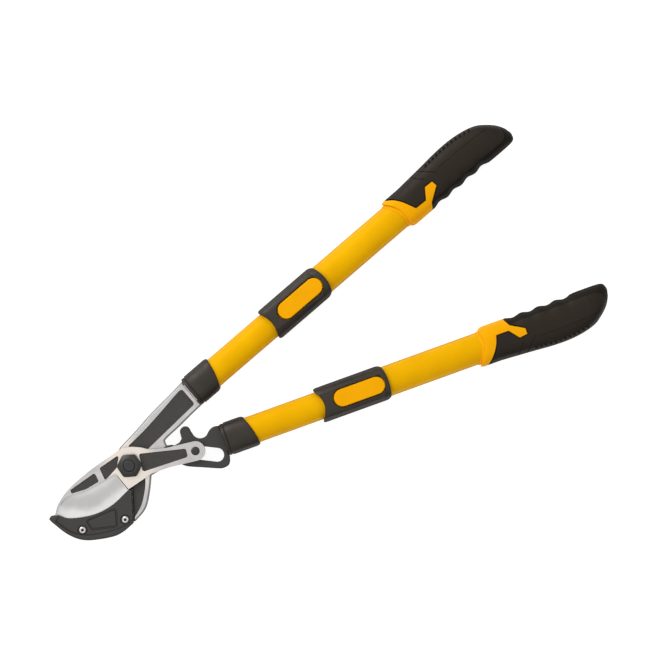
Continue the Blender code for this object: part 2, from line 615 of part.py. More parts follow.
def make_tail_pin(black, steel, parent):
    """The riveted pin in the tail, its roller in the slot and the washer that keeps it there."""
    x, y = TAIL_PIN_PLACE
    washer_top = LEVER_Z - FIT
    washer_low = washer_top - TAIL_WASHER_THICKNESS
    foot_top = washer_low - FIT
    foot = foot_top - TAIL_PIN_HEAD_HEIGHT
    head = BLADE_TOP + FIT
    top = head + TAIL_PIN_HEAD_HEIGHT
    rim = TAIL_PIN_HEAD_RADIUS
    profile = [(0, foot), (rim * 0.8, foot), (rim, foot_top - TAIL_PIN_HEAD_HEIGHT / 2), (rim, foot_top),
               (TAIL_PIN_RADIUS, foot_top), (TAIL_PIN_RADIUS, head), (rim, head),
               (rim, top - TAIL_PIN_HEAD_HEIGHT / 2), (rim * 0.8, top), (0, top)]
    piece("tail_pin", turned(profile, (x, y), 24), black, parent)
    bore = TAIL_PIN_RADIUS + FIT
    piece("tail_pin_washer", ring((x, y), bore, TAIL_WASHER_RADIUS, washer_low, washer_top), steel, parent)
    piece("slot_roller", ring((x, y), bore, ROLLER_RADIUS, LEVER_Z + FIT, ARM_TOP - FIT, 24), steel, parent)


def make_main_pivot(black, steel, bronze):
    """Bolt, nut, bush and washers of the main pivot."""
    origin = (0.0, 0.0)
    bolt_end = NUT_TOP + PIVOT_BOLT_PROUD
    shank = turned([(0, PIVOT_HEAD_HEIGHT / 2), (PIVOT_BOLT_RADIUS, PIVOT_HEAD_HEIGHT / 2),
                    (PIVOT_BOLT_RADIUS, bolt_end - PIVOT_BOLT_PROUD), (PIVOT_BOLT_RADIUS * 0.8, bolt_end),
                    (0, bolt_end)])
    bolt = piece("pivot_bolt", prisms((hexagon(origin, NUT_ACROSS_FLATS), 0, PIVOT_HEAD_HEIGHT)), black, None)
    shape_with(bolt, "shank", shank, "UNION")
    bore = BUSH_INNER
    nut = piece("pivot_nut", prisms((hexagon(origin, NUT_ACROSS_FLATS, NUT_TURN), NUT_Z, NUT_TOP)), black)
    corner = NUT_ACROSS_FLATS / math.sqrt(3)
    flat = NUT_ACROSS_FLATS / 2
    chamfer = (corner - flat) / 2
    dome = turned([(0, NUT_Z - FIT), (corner + FIT, NUT_Z - FIT), (corner + FIT, NUT_TOP - chamfer),
                   (flat - chamfer, NUT_TOP), (flat - chamfer, NUT_TOP + FIT), (0, NUT_TOP + FIT)])
    shape_with(nut, "chamfer", dome, "INTERSECT")
    shape_with(nut, "hole", prisms((circle(origin, bore), 0, bolt_end)))
    piece("pivot_bush", ring(origin, BUSH_INNER, BUSH_OUTER, ARM_Z, BLADE_TOP), bronze)
    rear_top = REAR_WASHER_Z + REAR_WASHER_THICKNESS
    piece("pivot_rear_washer", ring(origin, bore, REAR_WASHER_RADIUS, REAR_WASHER_Z, rear_top), steel)
    front_top = FRONT_WASHER_Z + FRONT_WASHER_THICKNESS
    piece("pivot_front_washer", ring(origin, bore, FRONT_WASHER_RADIUS, FRONT_WASHER_Z, front_top), steel)
    friction_low = ARM_TOP - FRICTION_WASHER_THICKNESS
    piece("friction_washer", ring(origin, HUB_HOLE, FRICTION_WASHER_RADIUS, friction_low, ARM_TOP), bronze)


def lever_outline():
    """The lever plate, from its boss round the slotted end and back over the stop knob."""
    boss = arc((0, 0), LEVER_BOSS_RADIUS, 50, 235)
    scallop = arc(SCALLOP_CENTRE, SCALLOP_RADIUS, 320, 196)
    knob = arc(KNOB_CENTRE, KNOB_RADIUS, -8, 178)
    end = [(HANDLE_B_START[0] - FIT, HANDLE_B_START[1] + across) for across in LEVER_END_SPREAD]
    return boss + smooth(LEVER_LOWER, 2) + end + LEVER_SHOULDER + scallop + knob + LEVER_KNOB_FOOT


def slot_outline():
    """The slot in the lever plate, which starts under the tail pin and runs towards the handle."""
    pin = Vector(TAIL_PIN_PLACE) - Vector(LEVER_PIVOT)
    pin.rotate(Matrix.Rotation(math.radians(-LEVER_TURN), 2))
    near, far = [pin + Vector(offset) for offset in SLOT_ENDS_FROM_PIN]
    lean = math.degrees(math.atan2(far.y - near.y, far.x - near.x))
    return arc(far, SLOT_RADIUS, lean - 90, lean + 90) + arc(near, SLOT_RADIUS, lean + 90, lean + 270)


def make_lever(black, parent):
    """The slotted lever plate with its tang."""
    lever = piece("lever_plate", prisms((lever_outline(), LEVER_Z, ARM_TOP)), black, parent, LEVER_BEVEL)
    add_tang(lever, HANDLE_B_START)
    shape_with(lever, "slot", prisms((slot_outline(), 0, 2 * ARM_TOP)))
    head = ARM_TOP - FIT
    well = turned([(0, 0), (LEVER_HOLE, 0), (LEVER_HOLE, head - LEVER_HEAD_HEIGHT - FIT),
                   (LEVER_HEAD_RADIUS + FIT, head - 2 * FIT),
                   (LEVER_HEAD_RADIUS + FIT, 2 * ARM_TOP), (0, 2 * ARM_TOP)])
    shape_with(lever, "hole", well)


def make_lever_pivot(steel):
    """Countersunk bolt of the lever's pivot with its washer and nut behind the lug."""
    washer_low = ARM_Z - FIT - LEVER_WASHER_THICKNESS
    nut_top = washer_low - FIT
    nut_low = nut_top - LEVER_NUT_HEIGHT
    head = ARM_TOP - FIT
    foot = nut_low - FIT
    profile = [(0, foot), (LEVER_BOLT_RADIUS, foot), (LEVER_BOLT_RADIUS, head - LEVER_HEAD_HEIGHT),
               (LEVER_HEAD_RADIUS, head - FIT), (LEVER_HEAD_RADIUS, head), (0, head)]
    piece("lever_bolt", turned(profile, LEVER_PIVOT), steel)
    piece("lever_washer", ring(LEVER_PIVOT, LEVER_HOLE, LEVER_WASHER_RADIUS, washer_low, ARM_Z - FIT), steel)
    nut = piece("lever_nut", prisms((hexagon(LEVER_PIVOT, LEVER_NUT_FLATS), nut_low, nut_top)), steel)
    shape_with(nut, "hole", prisms((circle(LEVER_PIVOT, LEVER_HOLE, 24), 0, ARM_TOP)))


def make_collar(letter, side, black, parent):
    """The collar over the joint of tang and tube, with a slanted rear end."""
    half = COLLAR_HALF_WIDTH

    def rear(across):
        share = across / half
        return COLLAR_LENGTH + COLLAR_SLANT * share + COLLAR_BULGE * (1 - share * share)

    shape = section(half, COLLAR_HALF_HEIGHT, COLLAR_HALF_HEIGHT, 2.4, 2.4)
    collar = piece(f"collar_{letter}", bar(shape, 0.0, rear, side), black, parent)
    shape_with(collar, "bore", oval_bar(OUTER_BORE_WIDTH, OUTER_BORE_HEIGHT, COLLAR_END_WALL,
                                        2 * COLLAR_LENGTH))
    shape_with(collar, "mouth", block((-COLLAR_LENGTH, -TANG_HALF_WIDTH - FIT, -TANG_HALF_HEIGHT - FIT),
                                      (COLLAR_LENGTH, TANG_HALF_WIDTH + FIT, TANG_HALF_HEIGHT + FIT)))


def make_inner_tube(letter, yellow, steel, black, parent):
    """The inner tube with its row of lock holes, its cross pin and its end plug."""
    start = COLLAR_END_WALL + FIT
    tube = piece(f"inner_tube_{letter}", oval_bar(INNER_TUBE_HALF_WIDTH, INNER_TUBE_HALF_HEIGHT, start,
                                                  INNER_TUBE_END), yellow, parent)
    shape_with(tube, "bore", oval_bar(INNER_BORE_WIDTH, INNER_BORE_HEIGHT, -start, 2 * INNER_TUBE_END))
    radius = LOCK_PIN_RADIUS + LOCK_HOLE_FIT
    holes = [(circle((LOCK_PIN_STATION + LOCK_PITCH * index, 0), radius, 12), 0, 2 * SLEEVE_TOP)
             for index in range(LOCK_POSITIONS)]
    shape_with(tube, "lock_holes", prisms(*holes))
    shape_with(tube, "pin_hole", cross_rod(TANG_PIN_RADIUS + FIT, TANG_PIN_STATION, 0,
                                           -COLLAR_HALF_WIDTH, COLLAR_HALF_WIDTH))
    reach = INNER_TUBE_HALF_WIDTH - FIT
    piece(f"tang_pin_{letter}", cross_rod(TANG_PIN_RADIUS, TANG_PIN_STATION, 0, -reach, reach), steel, parent)
    flange_start = INNER_TUBE_END + FIT
    plug = piece(f"tube_plug_{letter}", oval_bar(INNER_TUBE_HALF_WIDTH, INNER_TUBE_HALF_HEIGHT, flange_start,
                                                 flange_start + PLUG_FLANGE), black, parent)
    body = oval_bar(INNER_BORE_WIDTH - FIT, INNER_BORE_HEIGHT - FIT, INNER_TUBE_END - PLUG_LENGTH,
                    flange_start + PLUG_FLANGE / 2)
    shape_with(plug, "body", body, "UNION")


def make_outer_tube(letter, yellow, parent):
    """The outer tube, which slides on the inner one."""
    tube = piece(f"outer_tube_{letter}", oval_bar(OUTER_TUBE_HALF_WIDTH, OUTER_TUBE_HALF_HEIGHT,
                                                  OUTER_TUBE_START, OUTER_TUBE_END), yellow, parent)
    shape_with(tube, "bore", oval_bar(OUTER_BORE_WIDTH, OUTER_BORE_HEIGHT, 0, 2 * OUTER_TUBE_END))
    radius = LOCK_PIN_RADIUS + LOCK_HOLE_FIT
    shape_with(tube, "lock_hole", prisms((circle((LOCK_PIN_STATION, 0), radius, 12), 0, 2 * SLEEVE_TOP)))


def button_outline(growth=0.0):
    """The stadium outline of the button."""
    radius = BUTTON_WIDTH / 2 + growth
    reach = BUTTON_LENGTH / 2 - BUTTON_WIDTH / 2
    return (arc((BUTTON_CENTRE + reach, 0), radius, -90, 90)
            + arc((BUTTON_CENTRE - reach, 0), radius, 90, 270))


def make_sleeve(letter, side, black, parent):
    """The lock sleeve: flat-topped, with curved ends and a well for the button."""
    half = SLEEVE_HALF_WIDTH

    def curved(base):
        return lambda across: base + SLEEVE_BULGE * (1 - (across / half) ** 2)

    shape = section(half, SLEEVE_TOP, SLEEVE_BOTTOM, 3.2, 2.6)
    sleeve = piece(f"lock_sleeve_{letter}", bar(shape, curved(SLEEVE_START), curved(SLEEVE_END), side), black,
                   parent)
    shape_with(sleeve, "lip", oval_bar(OUTER_BORE_WIDTH, OUTER_BORE_HEIGHT, 0, 2 * SLEEVE_END))
    shape_with(sleeve, "bore", oval_bar(GRIP_BORE_WIDTH, GRIP_BORE_HEIGHT, OUTER_TUBE_START - FIT,
                                        2 * SLEEVE_END))
    well = prisms((button_outline(BUTTON_GAP), OUTER_TUBE_HALF_HEIGHT / 2, 2 * SLEEVE_TOP))
    shape_with(sleeve, "well", well)
    reach = HINGE_PIN_LENGTH / 2 + FIT
    hole = cross_rod(HINGE_PIN_RADIUS + FIT, BUTTON_CENTRE, HINGE_HEIGHT, -reach, reach)
    shape_with(sleeve, "pin_hole", hole)


def make_button(letter, yellow, steel, parent, carrier):
    """The rocking button with its lock pin, and its hinge pin and leaf spring in the sleeve."""
    top = SLEEVE_TOP + BUTTON_PROUD
    under = top - BUTTON_THICKNESS
    hinge = Vector((BUTTON_CENTRE, 0, HINGE_HEIGHT))
    plate = [(x - hinge.x, y) for x, y in button_outline()]
    button = piece(f"lock_button_{letter}", prisms((plate, under - hinge.z, top - hinge.z)), yellow, parent,
                   BUTTON_PROUD / 2)
    foot = HINGE_PIN_RADIUS + BUTTON_PROUD
    shape_with(button, "foot", block((-foot, -HINGE_BLOCK_WIDTH / 2, -HINGE_PIN_RADIUS / 2),
                                     (foot, HINGE_BLOCK_WIDTH / 2, under - hinge.z + FIT)), "UNION")
    shape_with(button, "pin_bore", cross_rod(HINGE_PIN_RADIUS + FIT, 0, 0, -BUTTON_WIDTH, BUTTON_WIDTH))
    pin_x = -LOCK_PIN_FROM_HINGE
    socket_top = top - BUTTON_THICKNESS / 2 - hinge.z
    socket = circle((pin_x, 0), LOCK_PIN_RADIUS + FIT, 16)
    shape_with(button, "socket", prisms((socket, -hinge.z, socket_top)))
    pin_foot = OUTER_BORE_HEIGHT - hinge.z
    pin = circle((pin_x, 0), LOCK_PIN_RADIUS, 16)
    piece(f"lock_pin_{letter}", prisms((pin, pin_foot, socket_top - FIT)), steel, parent)
    reach = HINGE_PIN_LENGTH / 2
    hinge_pin = cross_rod(HINGE_PIN_RADIUS, BUTTON_CENTRE, HINGE_HEIGHT, -reach, reach)
    piece(f"button_hinge_pin_{letter}", hinge_pin, steel, carrier)
    make_spring(letter, under, steel, carrier)


def make_spring(letter, under, steel, parent):
    """The bowed leaf spring between the outer tube and the button."""
    floor = OUTER_TUBE_HALF_HEIGHT + FIT
    rise = under - FIT - SPRING_THICKNESS - floor
    half = SPRING_LENGTH / 2
    shares = [index / 8 for index in range(-8, 9)]
    lower = [(SPRING_CENTRE + half * s, floor + rise * (1 - s * s)) for s in shares]
    upper = [(x, z + SPRING_THICKNESS) for x, z in reversed(lower)]
    bm = prisms((lower + upper, -SPRING_WIDTH / 2, SPRING_WIDTH / 2))
    for vertex in bm.verts:
        vertex.co = (vertex.co.x, -vertex.co.z, vertex.co.y)
    piece(f"button_spring_{letter}", bm, steel, parent)


def read_off(points, station):
    """The value of a smooth graph at a station."""
    curve = smooth(points)
    for (x0, y0), (x1, y1) in zip(curve, curve[1:]):
        if station <= x1:
            return y0 + (y1 - y0) * max(0.0, station - x0) / (x1 - x0)
    return curve[-1][1]


def finger_depth(distance):
    """How far the finger side is drawn in by its scallops, by distance from the mouth."""
    share = (distance - SCALLOP_START) / SCALLOP_PITCH
    if not 0 < share < SCALLOP_COUNT:
        return 0.0
    return SCALLOP_DEPTH * math.sin(math.pi * share) ** 2


def grip_solid(side):
    """The outer form of the grip."""
    first = GRIP_BACK[0][0]
    length = GRIP_BACK[-1][0]
    scallop_end = SCALLOP_START + SCALLOP_COUNT * SCALLOP_PITCH
    lead = [first + share * (SCALLOP_START - first) for share in (0.0, 0.5)]
    scallops = [SCALLOP_START + SCALLOP_PITCH * index / 4 for index in range(4 * SCALLOP_COUNT + 1)]
    tail = [scallop_end + share * (length - scallop_end)
            for share in (0.3, 0.5, 0.65, 0.77, 0.86, 0.93, 0.98, 1)]

    def mouth(across):
        share = across / (GRIP_CORE_WIDTH + GRIP_BACK[0][1])
        return -GRIP_MOUTH_SLANT * share + GRIP_MOUTH_BULGE * (1 - share * share)

    rings = []
    for distance in [None] + lead + scallops + tail:
        at = first if distance is None else distance
        back = GRIP_CORE_WIDTH + read_off(GRIP_BACK, at)
        finger = GRIP_CORE_WIDTH + read_off(GRIP_FINGER, at) - finger_depth(at)
        height = GRIP_HALF_HEIGHT - read_off(GRIP_SHORTFALL, at)
        shape = section((back + finger) / 2, height, height, 2.6, 2.6, GRIP_FACES, (back - finger) / 2)
        places = [mouth(w) if distance is None else distance for w, _ in shape]
        rings.append([(GRIP_MOUTH + place, side * w, z) for place, (w, z) in zip(places, shape)])
    return loft(rings)


def window(side, growth):
    """The yellow area of the grip as a prism through it."""
    outline = GRIP_WINDOW
    if growth:
        outline = moved_out(outline, -growth, closed=True)
    outline = [(GRIP_MOUTH + x, side * y) for x, y in outline]
    return prisms((outline, -2 * GRIP_HALF_HEIGHT, 2 * GRIP_HALF_HEIGHT))


def make_grip(letter, side, yellow, black, parent):
    """The grip's body on the tube and the soft cover round it."""
    liner_start = GRIP_MOUTH + GRIP_WINDOW[2][0]
    core = piece(f"grip_core_{letter}", grip_solid(side), yellow, parent)
    shape_with(core, "window", window(side, 0), "INTERSECT")
    liner = oval_bar(GRIP_CORE_WIDTH, GRIP_CORE_HEIGHT, liner_start, GRIP_CORE_END)
    shape_with(core, "liner", liner, "UNION")
    shape_with(core, "bore", oval_bar(GRIP_BORE_WIDTH, GRIP_BORE_HEIGHT, 0, OUTER_TUBE_END + FIT))
    cover = piece(f"grip_cover_{letter}", grip_solid(side), black, parent)
    shape_with(cover, "window", window(side, FIT))
    shape_with(cover, "bore", oval_bar(GRIP_CORE_WIDTH + FIT, GRIP_CORE_HEIGHT + FIT, 0, GRIP_CORE_END + FIT))


def make_handle(letter, side, start, parent, finishes):
    """One telescopic handle from collar to grip."""
    frame = axis_empty(f"handle_{letter}_frame", (*start, AXIS_Z), parent=parent)
    slide = axis_empty(f"slide_{letter}_frame", (0, 0, 0), parent=frame)
    rocker = axis_empty(f"button_{letter}_frame", (BUTTON_CENTRE, 0, HINGE_HEIGHT), parent=slide)
    make_collar(letter, side, finishes["black"], frame)
    make_inner_tube(letter, finishes["yellow"], finishes["steel"], finishes["black"], frame)
    make_outer_tube(letter, finishes["yellow"], slide)
    make_sleeve(letter, side, finishes["black"], slide)
    make_button(letter, finishes["button"], finishes["steel"], rocker, slide)
    make_grip(letter, side, finishes["button"], finishes["rubber"], slide)


def main():
    """Builds the lopper."""
    reset_scene()
    finishes = {
        "silver": finish("silver_steel", (0.60, 0.59, 0.57), 0.35, 1.0),
        "steel": finish("plated_steel", (0.55, 0.55, 0.56), 0.3, 1.0),
        "cast": finish("black_cast", (0.035, 0.034, 0.032), 0.5, 0.3),
        "black": finish("black_plastic", (0.030, 0.026, 0.024), 0.4),
        "rubber": finish("black_rubber", (0.028, 0.026, 0.024), 0.65),
        "yellow": finish("yellow_paint", (0.82, 0.40, 0.004), 0.35),
        "button": finish("yellow_plastic", (0.90, 0.38, 0.004), 0.45),
        "bronze": finish("sintered_bronze", (0.35, 0.22, 0.10), 0.4, 1.0),
    }
    blade_axis = axis_empty("blade_axis", (0, 0, 0))
    lever_axis = axis_empty("lever_axis", (*LEVER_PIVOT, 0), LEVER_TURN)
    make_arm(finishes["silver"])
    make_anvil(finishes["cast"], finishes["steel"])
    make_blade(finishes["silver"], blade_axis)
    make_tail_pin(finishes["cast"], finishes["steel"], blade_axis)
    make_main_pivot(finishes["cast"], finishes["steel"], finishes["bronze"])
    make_lever(finishes["cast"], lever_axis)
    make_lever_pivot(finishes["steel"])
    make_handle("a", 1, HANDLE_A_START, None, finishes)
    make_handle("b", -1, HANDLE_B_START, lever_axis, finishes)


main()
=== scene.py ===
"""Looks of the telescopic anvil lopper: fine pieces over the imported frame, their finishes, light and camera.

Sizes are in metres in the row frame: the Z axis is the main pivot, handle A runs along X and z = 0 is the
floor. The pieces of a handle are made along their own X, with their back on +Y, and then put in place.
"""

import logging
import math
from collections.abc import Callable, Sequence
from dataclasses import dataclass, field
from enum import Enum

import bmesh
import bpy
from mathutils import Matrix, Vector


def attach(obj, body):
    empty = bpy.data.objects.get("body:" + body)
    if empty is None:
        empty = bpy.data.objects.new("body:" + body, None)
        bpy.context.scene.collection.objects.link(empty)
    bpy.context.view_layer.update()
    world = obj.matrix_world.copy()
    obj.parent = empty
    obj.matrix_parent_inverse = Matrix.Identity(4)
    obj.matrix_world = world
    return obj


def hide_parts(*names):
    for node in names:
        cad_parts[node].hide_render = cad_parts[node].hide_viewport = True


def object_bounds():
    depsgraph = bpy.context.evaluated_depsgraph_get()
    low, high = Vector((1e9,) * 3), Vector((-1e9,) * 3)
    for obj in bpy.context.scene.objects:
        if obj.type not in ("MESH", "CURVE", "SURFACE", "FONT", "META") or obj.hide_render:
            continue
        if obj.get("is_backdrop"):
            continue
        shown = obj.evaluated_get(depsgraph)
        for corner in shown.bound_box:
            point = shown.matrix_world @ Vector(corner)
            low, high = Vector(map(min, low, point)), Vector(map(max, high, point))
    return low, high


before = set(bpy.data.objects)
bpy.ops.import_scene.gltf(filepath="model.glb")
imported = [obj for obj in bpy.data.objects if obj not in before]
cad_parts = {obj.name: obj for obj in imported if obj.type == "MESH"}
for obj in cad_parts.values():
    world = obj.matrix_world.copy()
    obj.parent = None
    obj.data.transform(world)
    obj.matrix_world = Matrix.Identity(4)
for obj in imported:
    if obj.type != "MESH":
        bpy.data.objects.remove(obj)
CAD_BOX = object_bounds()

MM = 0.001
FIT = 0.3 * MM  # play between a piece and what it sits in
PROUD_CUT = 4.0 * MM  # how far a cutter stands out of the face that it cuts
FLAT_NORMAL = 0.9999  # upward share of a level face's normal
PATCHY = (0.3, 0.7)  # values of soft noise that are spread over 0 to 1
RIM_SLOPES = ((0.46, 42.0), (0.32, 26.0), (0.22, 9.0))  # of a forging's rim: shares of its width, degrees
RIM_RISE = sum(share * math.tan(math.radians(slope)) for share, slope in RIM_SLOPES)
LOG = logging.getLogger("lopper")

Point = tuple[float, ...]
Station = float | Callable[[float], float]
Material = bpy.types.Material
Socket = bpy.types.NodeSocket
Face = bmesh.types.BMFace
Piece = bpy.types.Object


class Side(Enum):
    """The two handles, by how their back lies against +Y."""

    A = 1
    B = -1


class Change(Enum):
    """What a tool does to the piece that it is put to."""

    CUT = "DIFFERENCE"
    JOIN = "UNION"
    KEEP = "INTERSECT"


@dataclass(frozen=True)
class Layout:
    """Places and sizes that several pieces share.

    Attributes:
        lever_pivot: Axis of the lever's own bolt.
        tail_pin: Axis of the pin in the blade's tail.
        hub_bore: Radius of the hole for the main bolt and its bush.
        lever_bore: Radius of the hole for the lever's bolt.
        screw_bore: Radius of the holes for the anvil's screws.
        starts: Head end of each handle, in the row frame and in the lever's own.
        tang: Length, half width and half height of a tang.
        tang_root: How far a tang starts inside its plate.
        tang_rim: Width of its rims.
    """

    lever_pivot: Point = (44.2 * MM, -21.5 * MM)
    tail_pin: Point = (68.6 * MM, -36.8 * MM)
    hub_bore: float = 9.3 * MM
    lever_bore: float = 4.3 * MM
    screw_bore: float = 2.8 * MM
    starts: dict[Side, Point] = field(default_factory=lambda: {
        Side.A: (109.2 * MM, 17.8 * MM), Side.B: (63.7 * MM, -5.1 * MM)})
    tang: Point = (58.0 * MM, 12.03 * MM, 5.4 * MM)
    tang_root: float = 1.8 * MM
    tang_rim: float = 0.8 * MM


LAYOUT = Layout()


def mm(*points: Point) -> list[Point]:
    """Points written in millimetres, as metres."""
    return [tuple(value * MM for value in point) for point in points]


def arc(centre: Point, radius: float, start: float, end: float, step: float = 6.0) -> list[Point]:
    """Points on a circle.

    Args:
        centre: Middle of the circle.
        radius: Its radius.
        start: First angle in degrees.
        end: Last angle in degrees.
        step: Greatest angle between two points.

    Returns:
        The points from the first angle to the last.
    """
    count = max(2, math.ceil(abs(end - start) / step))
    angles = [math.radians(start + (end - start) * index / count) for index in range(count + 1)]
    return [(centre[0] + radius * math.cos(a), centre[1] + radius * math.sin(a)) for a in angles]


def circle(centre: Point, radius: float, count: int = 48) -> list[Point]:
    """A closed circle."""
    return arc(centre, radius, 0, 360, 360 / count)[:-1]


def smooth(points: Sequence[Point], steps: int = 8) -> list[Point]:
    """A smooth curve through points.

    Args:
        points: The points that it passes.
        steps: Stretches between two of them.

    Returns:
        The points of the curve, ends included.
    """
    path = [Vector(point) for point in points]
    path = [2 * path[0] - path[1]] + path + [2 * path[-1] - path[-2]]
    curve = []
    for a, b, c, d in zip(path, path[1:], path[2:], path[3:]):
        for index in range(steps):
            t = index / steps
            square = (2 * a - 5 * b + 4 * c - d) * t * t
            cube = (3 * b - a - 3 * c + d) * t * t * t
            curve.append(tuple((2 * b + (c - a) * t + square + cube) / 2))
    curve.append(tuple(path[-2]))
    return curve


def rounded(corners: Sequence[Point], step: float = 12.0) -> list[Point]:
    """A closed outline with rounded corners.

    Args:
        corners: Each corner's place and, third, its radius.
        step: Greatest angle between two points of a corner.

    Returns:
        The points of the outline.
    """
    outline: list[Point] = []
    for index, (x, y, radius) in enumerate(corners):
        here = Vector((x, y))
        if radius == 0:
            outline.append((x, y))
            continue
        back = (Vector(corners[index - 1][:2]) - here).normalized()
        ahead = (Vector(corners[(index + 1) % len(corners)][:2]) - here).normalized()
        half = back.angle(ahead) / 2
        centre = here + (back + ahead).normalized() * radius / math.sin(half)
        start = here + back * radius / math.tan(half) - centre
        turn = math.pi - 2 * half
        if back.cross(ahead) > 0:
            turn = -turn
        first = math.degrees(math.atan2(start.y, start.x))
        outline += arc(centre, radius, first, first + math.degrees(turn), step)
    return outline


def moved_out(path: Sequence[Point], distance: float) -> list[Point]:
    """A closed outline shifted to its right, which is outwards where it runs counter-clockwise.

    Args:
        path: The outline.
        distance: How far it is shifted.

    Returns:
        The shifted outline.
    """
    shifted = []
    for index, point in enumerate(path):
        here = Vector(point)
        incoming = (here - Vector(path[index - 1])).normalized()
        outgoing = (Vector(path[(index + 1) % len(path)]) - here).normalized()
        along = (incoming + outgoing).normalized()
        side = Vector((along.y, -along.x))
        shifted.append(tuple(here + side * distance / max(0.5, along.dot(incoming))))
    return shifted


def oval(half_width: float, top: float, bottom: float, power: float = 2.0, under_power: float = 2.0,
         count: int = 64, centre: float = 0.0) -> list[Point]:
    """A cross-section of two half superellipses.

    Args:
        half_width: Half of its width.
        top: Its height above the middle line.
        bottom: Its depth below that line.
        power: Squareness of the upper half; 2 is an ellipse.
        under_power: Squareness of the lower half.
        count: Number of points.
        centre: Where the middle is across the handle.

    Returns:
        Points across and up.
    """
    points = []
    for index in range(count):
        angle = math.tau * (index + 0.5) / count
        across, up = math.cos(angle), math.sin(angle)
        bend, reach = (power, top) if up > 0 else (under_power, bottom)
        wide = math.copysign(abs(across) ** (2 / bend), across)
        high = math.copysign(abs(up) ** (2 / bend), up)
        points.append((centre + half_width * wide, reach * high))
    return points


def corner_drop(across: float, half: float, corner: float) -> float:
    """How far the end of a piece draws back at its corners.

    Args:
        across: The place across the piece.
        half: Half of its width.
        corner: Radius of the corner.

    Returns:
        The distance, which is 0 between the corners.
    """
    past = min(corner, max(0.0, abs(across) - (half - corner)))
    return corner - math.sqrt(corner ** 2 - past ** 2)


def oblong(left: float, right: float, near: float, far: float) -> list[Point]:
    """A rectangle, counter-clockwise."""
    return [(left, near), (right, near), (right, far), (left, far)]


class Value:
    """A number that varies over a surface, from one socket, which takes Python's operators."""

    def __init__(self, graph: "Graph", socket: Socket) -> None:
        """Wraps a socket of a graph."""
        self.graph = graph
        self.socket = socket

    def __add__(self, other: "Value | float") -> "Value":
        """This plus another."""
        return self.graph.maths("ADD", self, other)

    def __radd__(self, other: float) -> "Value":
        """A number plus this."""
        return self.graph.maths("ADD", other, self)

    def __sub__(self, other: "Value | float") -> "Value":
        """This less another."""
        return self.graph.maths("SUBTRACT", self, other)

    def __rsub__(self, other: float) -> "Value":
        """A number less this."""
        return self.graph.maths("SUBTRACT", other, self)

    def __mul__(self, other: "Value | float") -> "Value":
        """This times another."""
        return self.graph.maths("MULTIPLY", self, other)

    def __rmul__(self, other: float) -> "Value":
        """A number times this."""
        return self.graph.maths("MULTIPLY", other, self)

    def band(self, low: float, high: float) -> "Value":
        """0 below low, 1 above high and smooth between.

        Args:
            low: Where the band starts.
            high: Where it ends.

        Returns:
            The value from 0 to 1.
        """
        made = self.graph.node("ShaderNodeMapRange", {"interpolation_type": "SMOOTHSTEP"},
                               {"Value": self, "From Min": low, "From Max": high})
        return Value(self.graph, made.outputs["Result"])


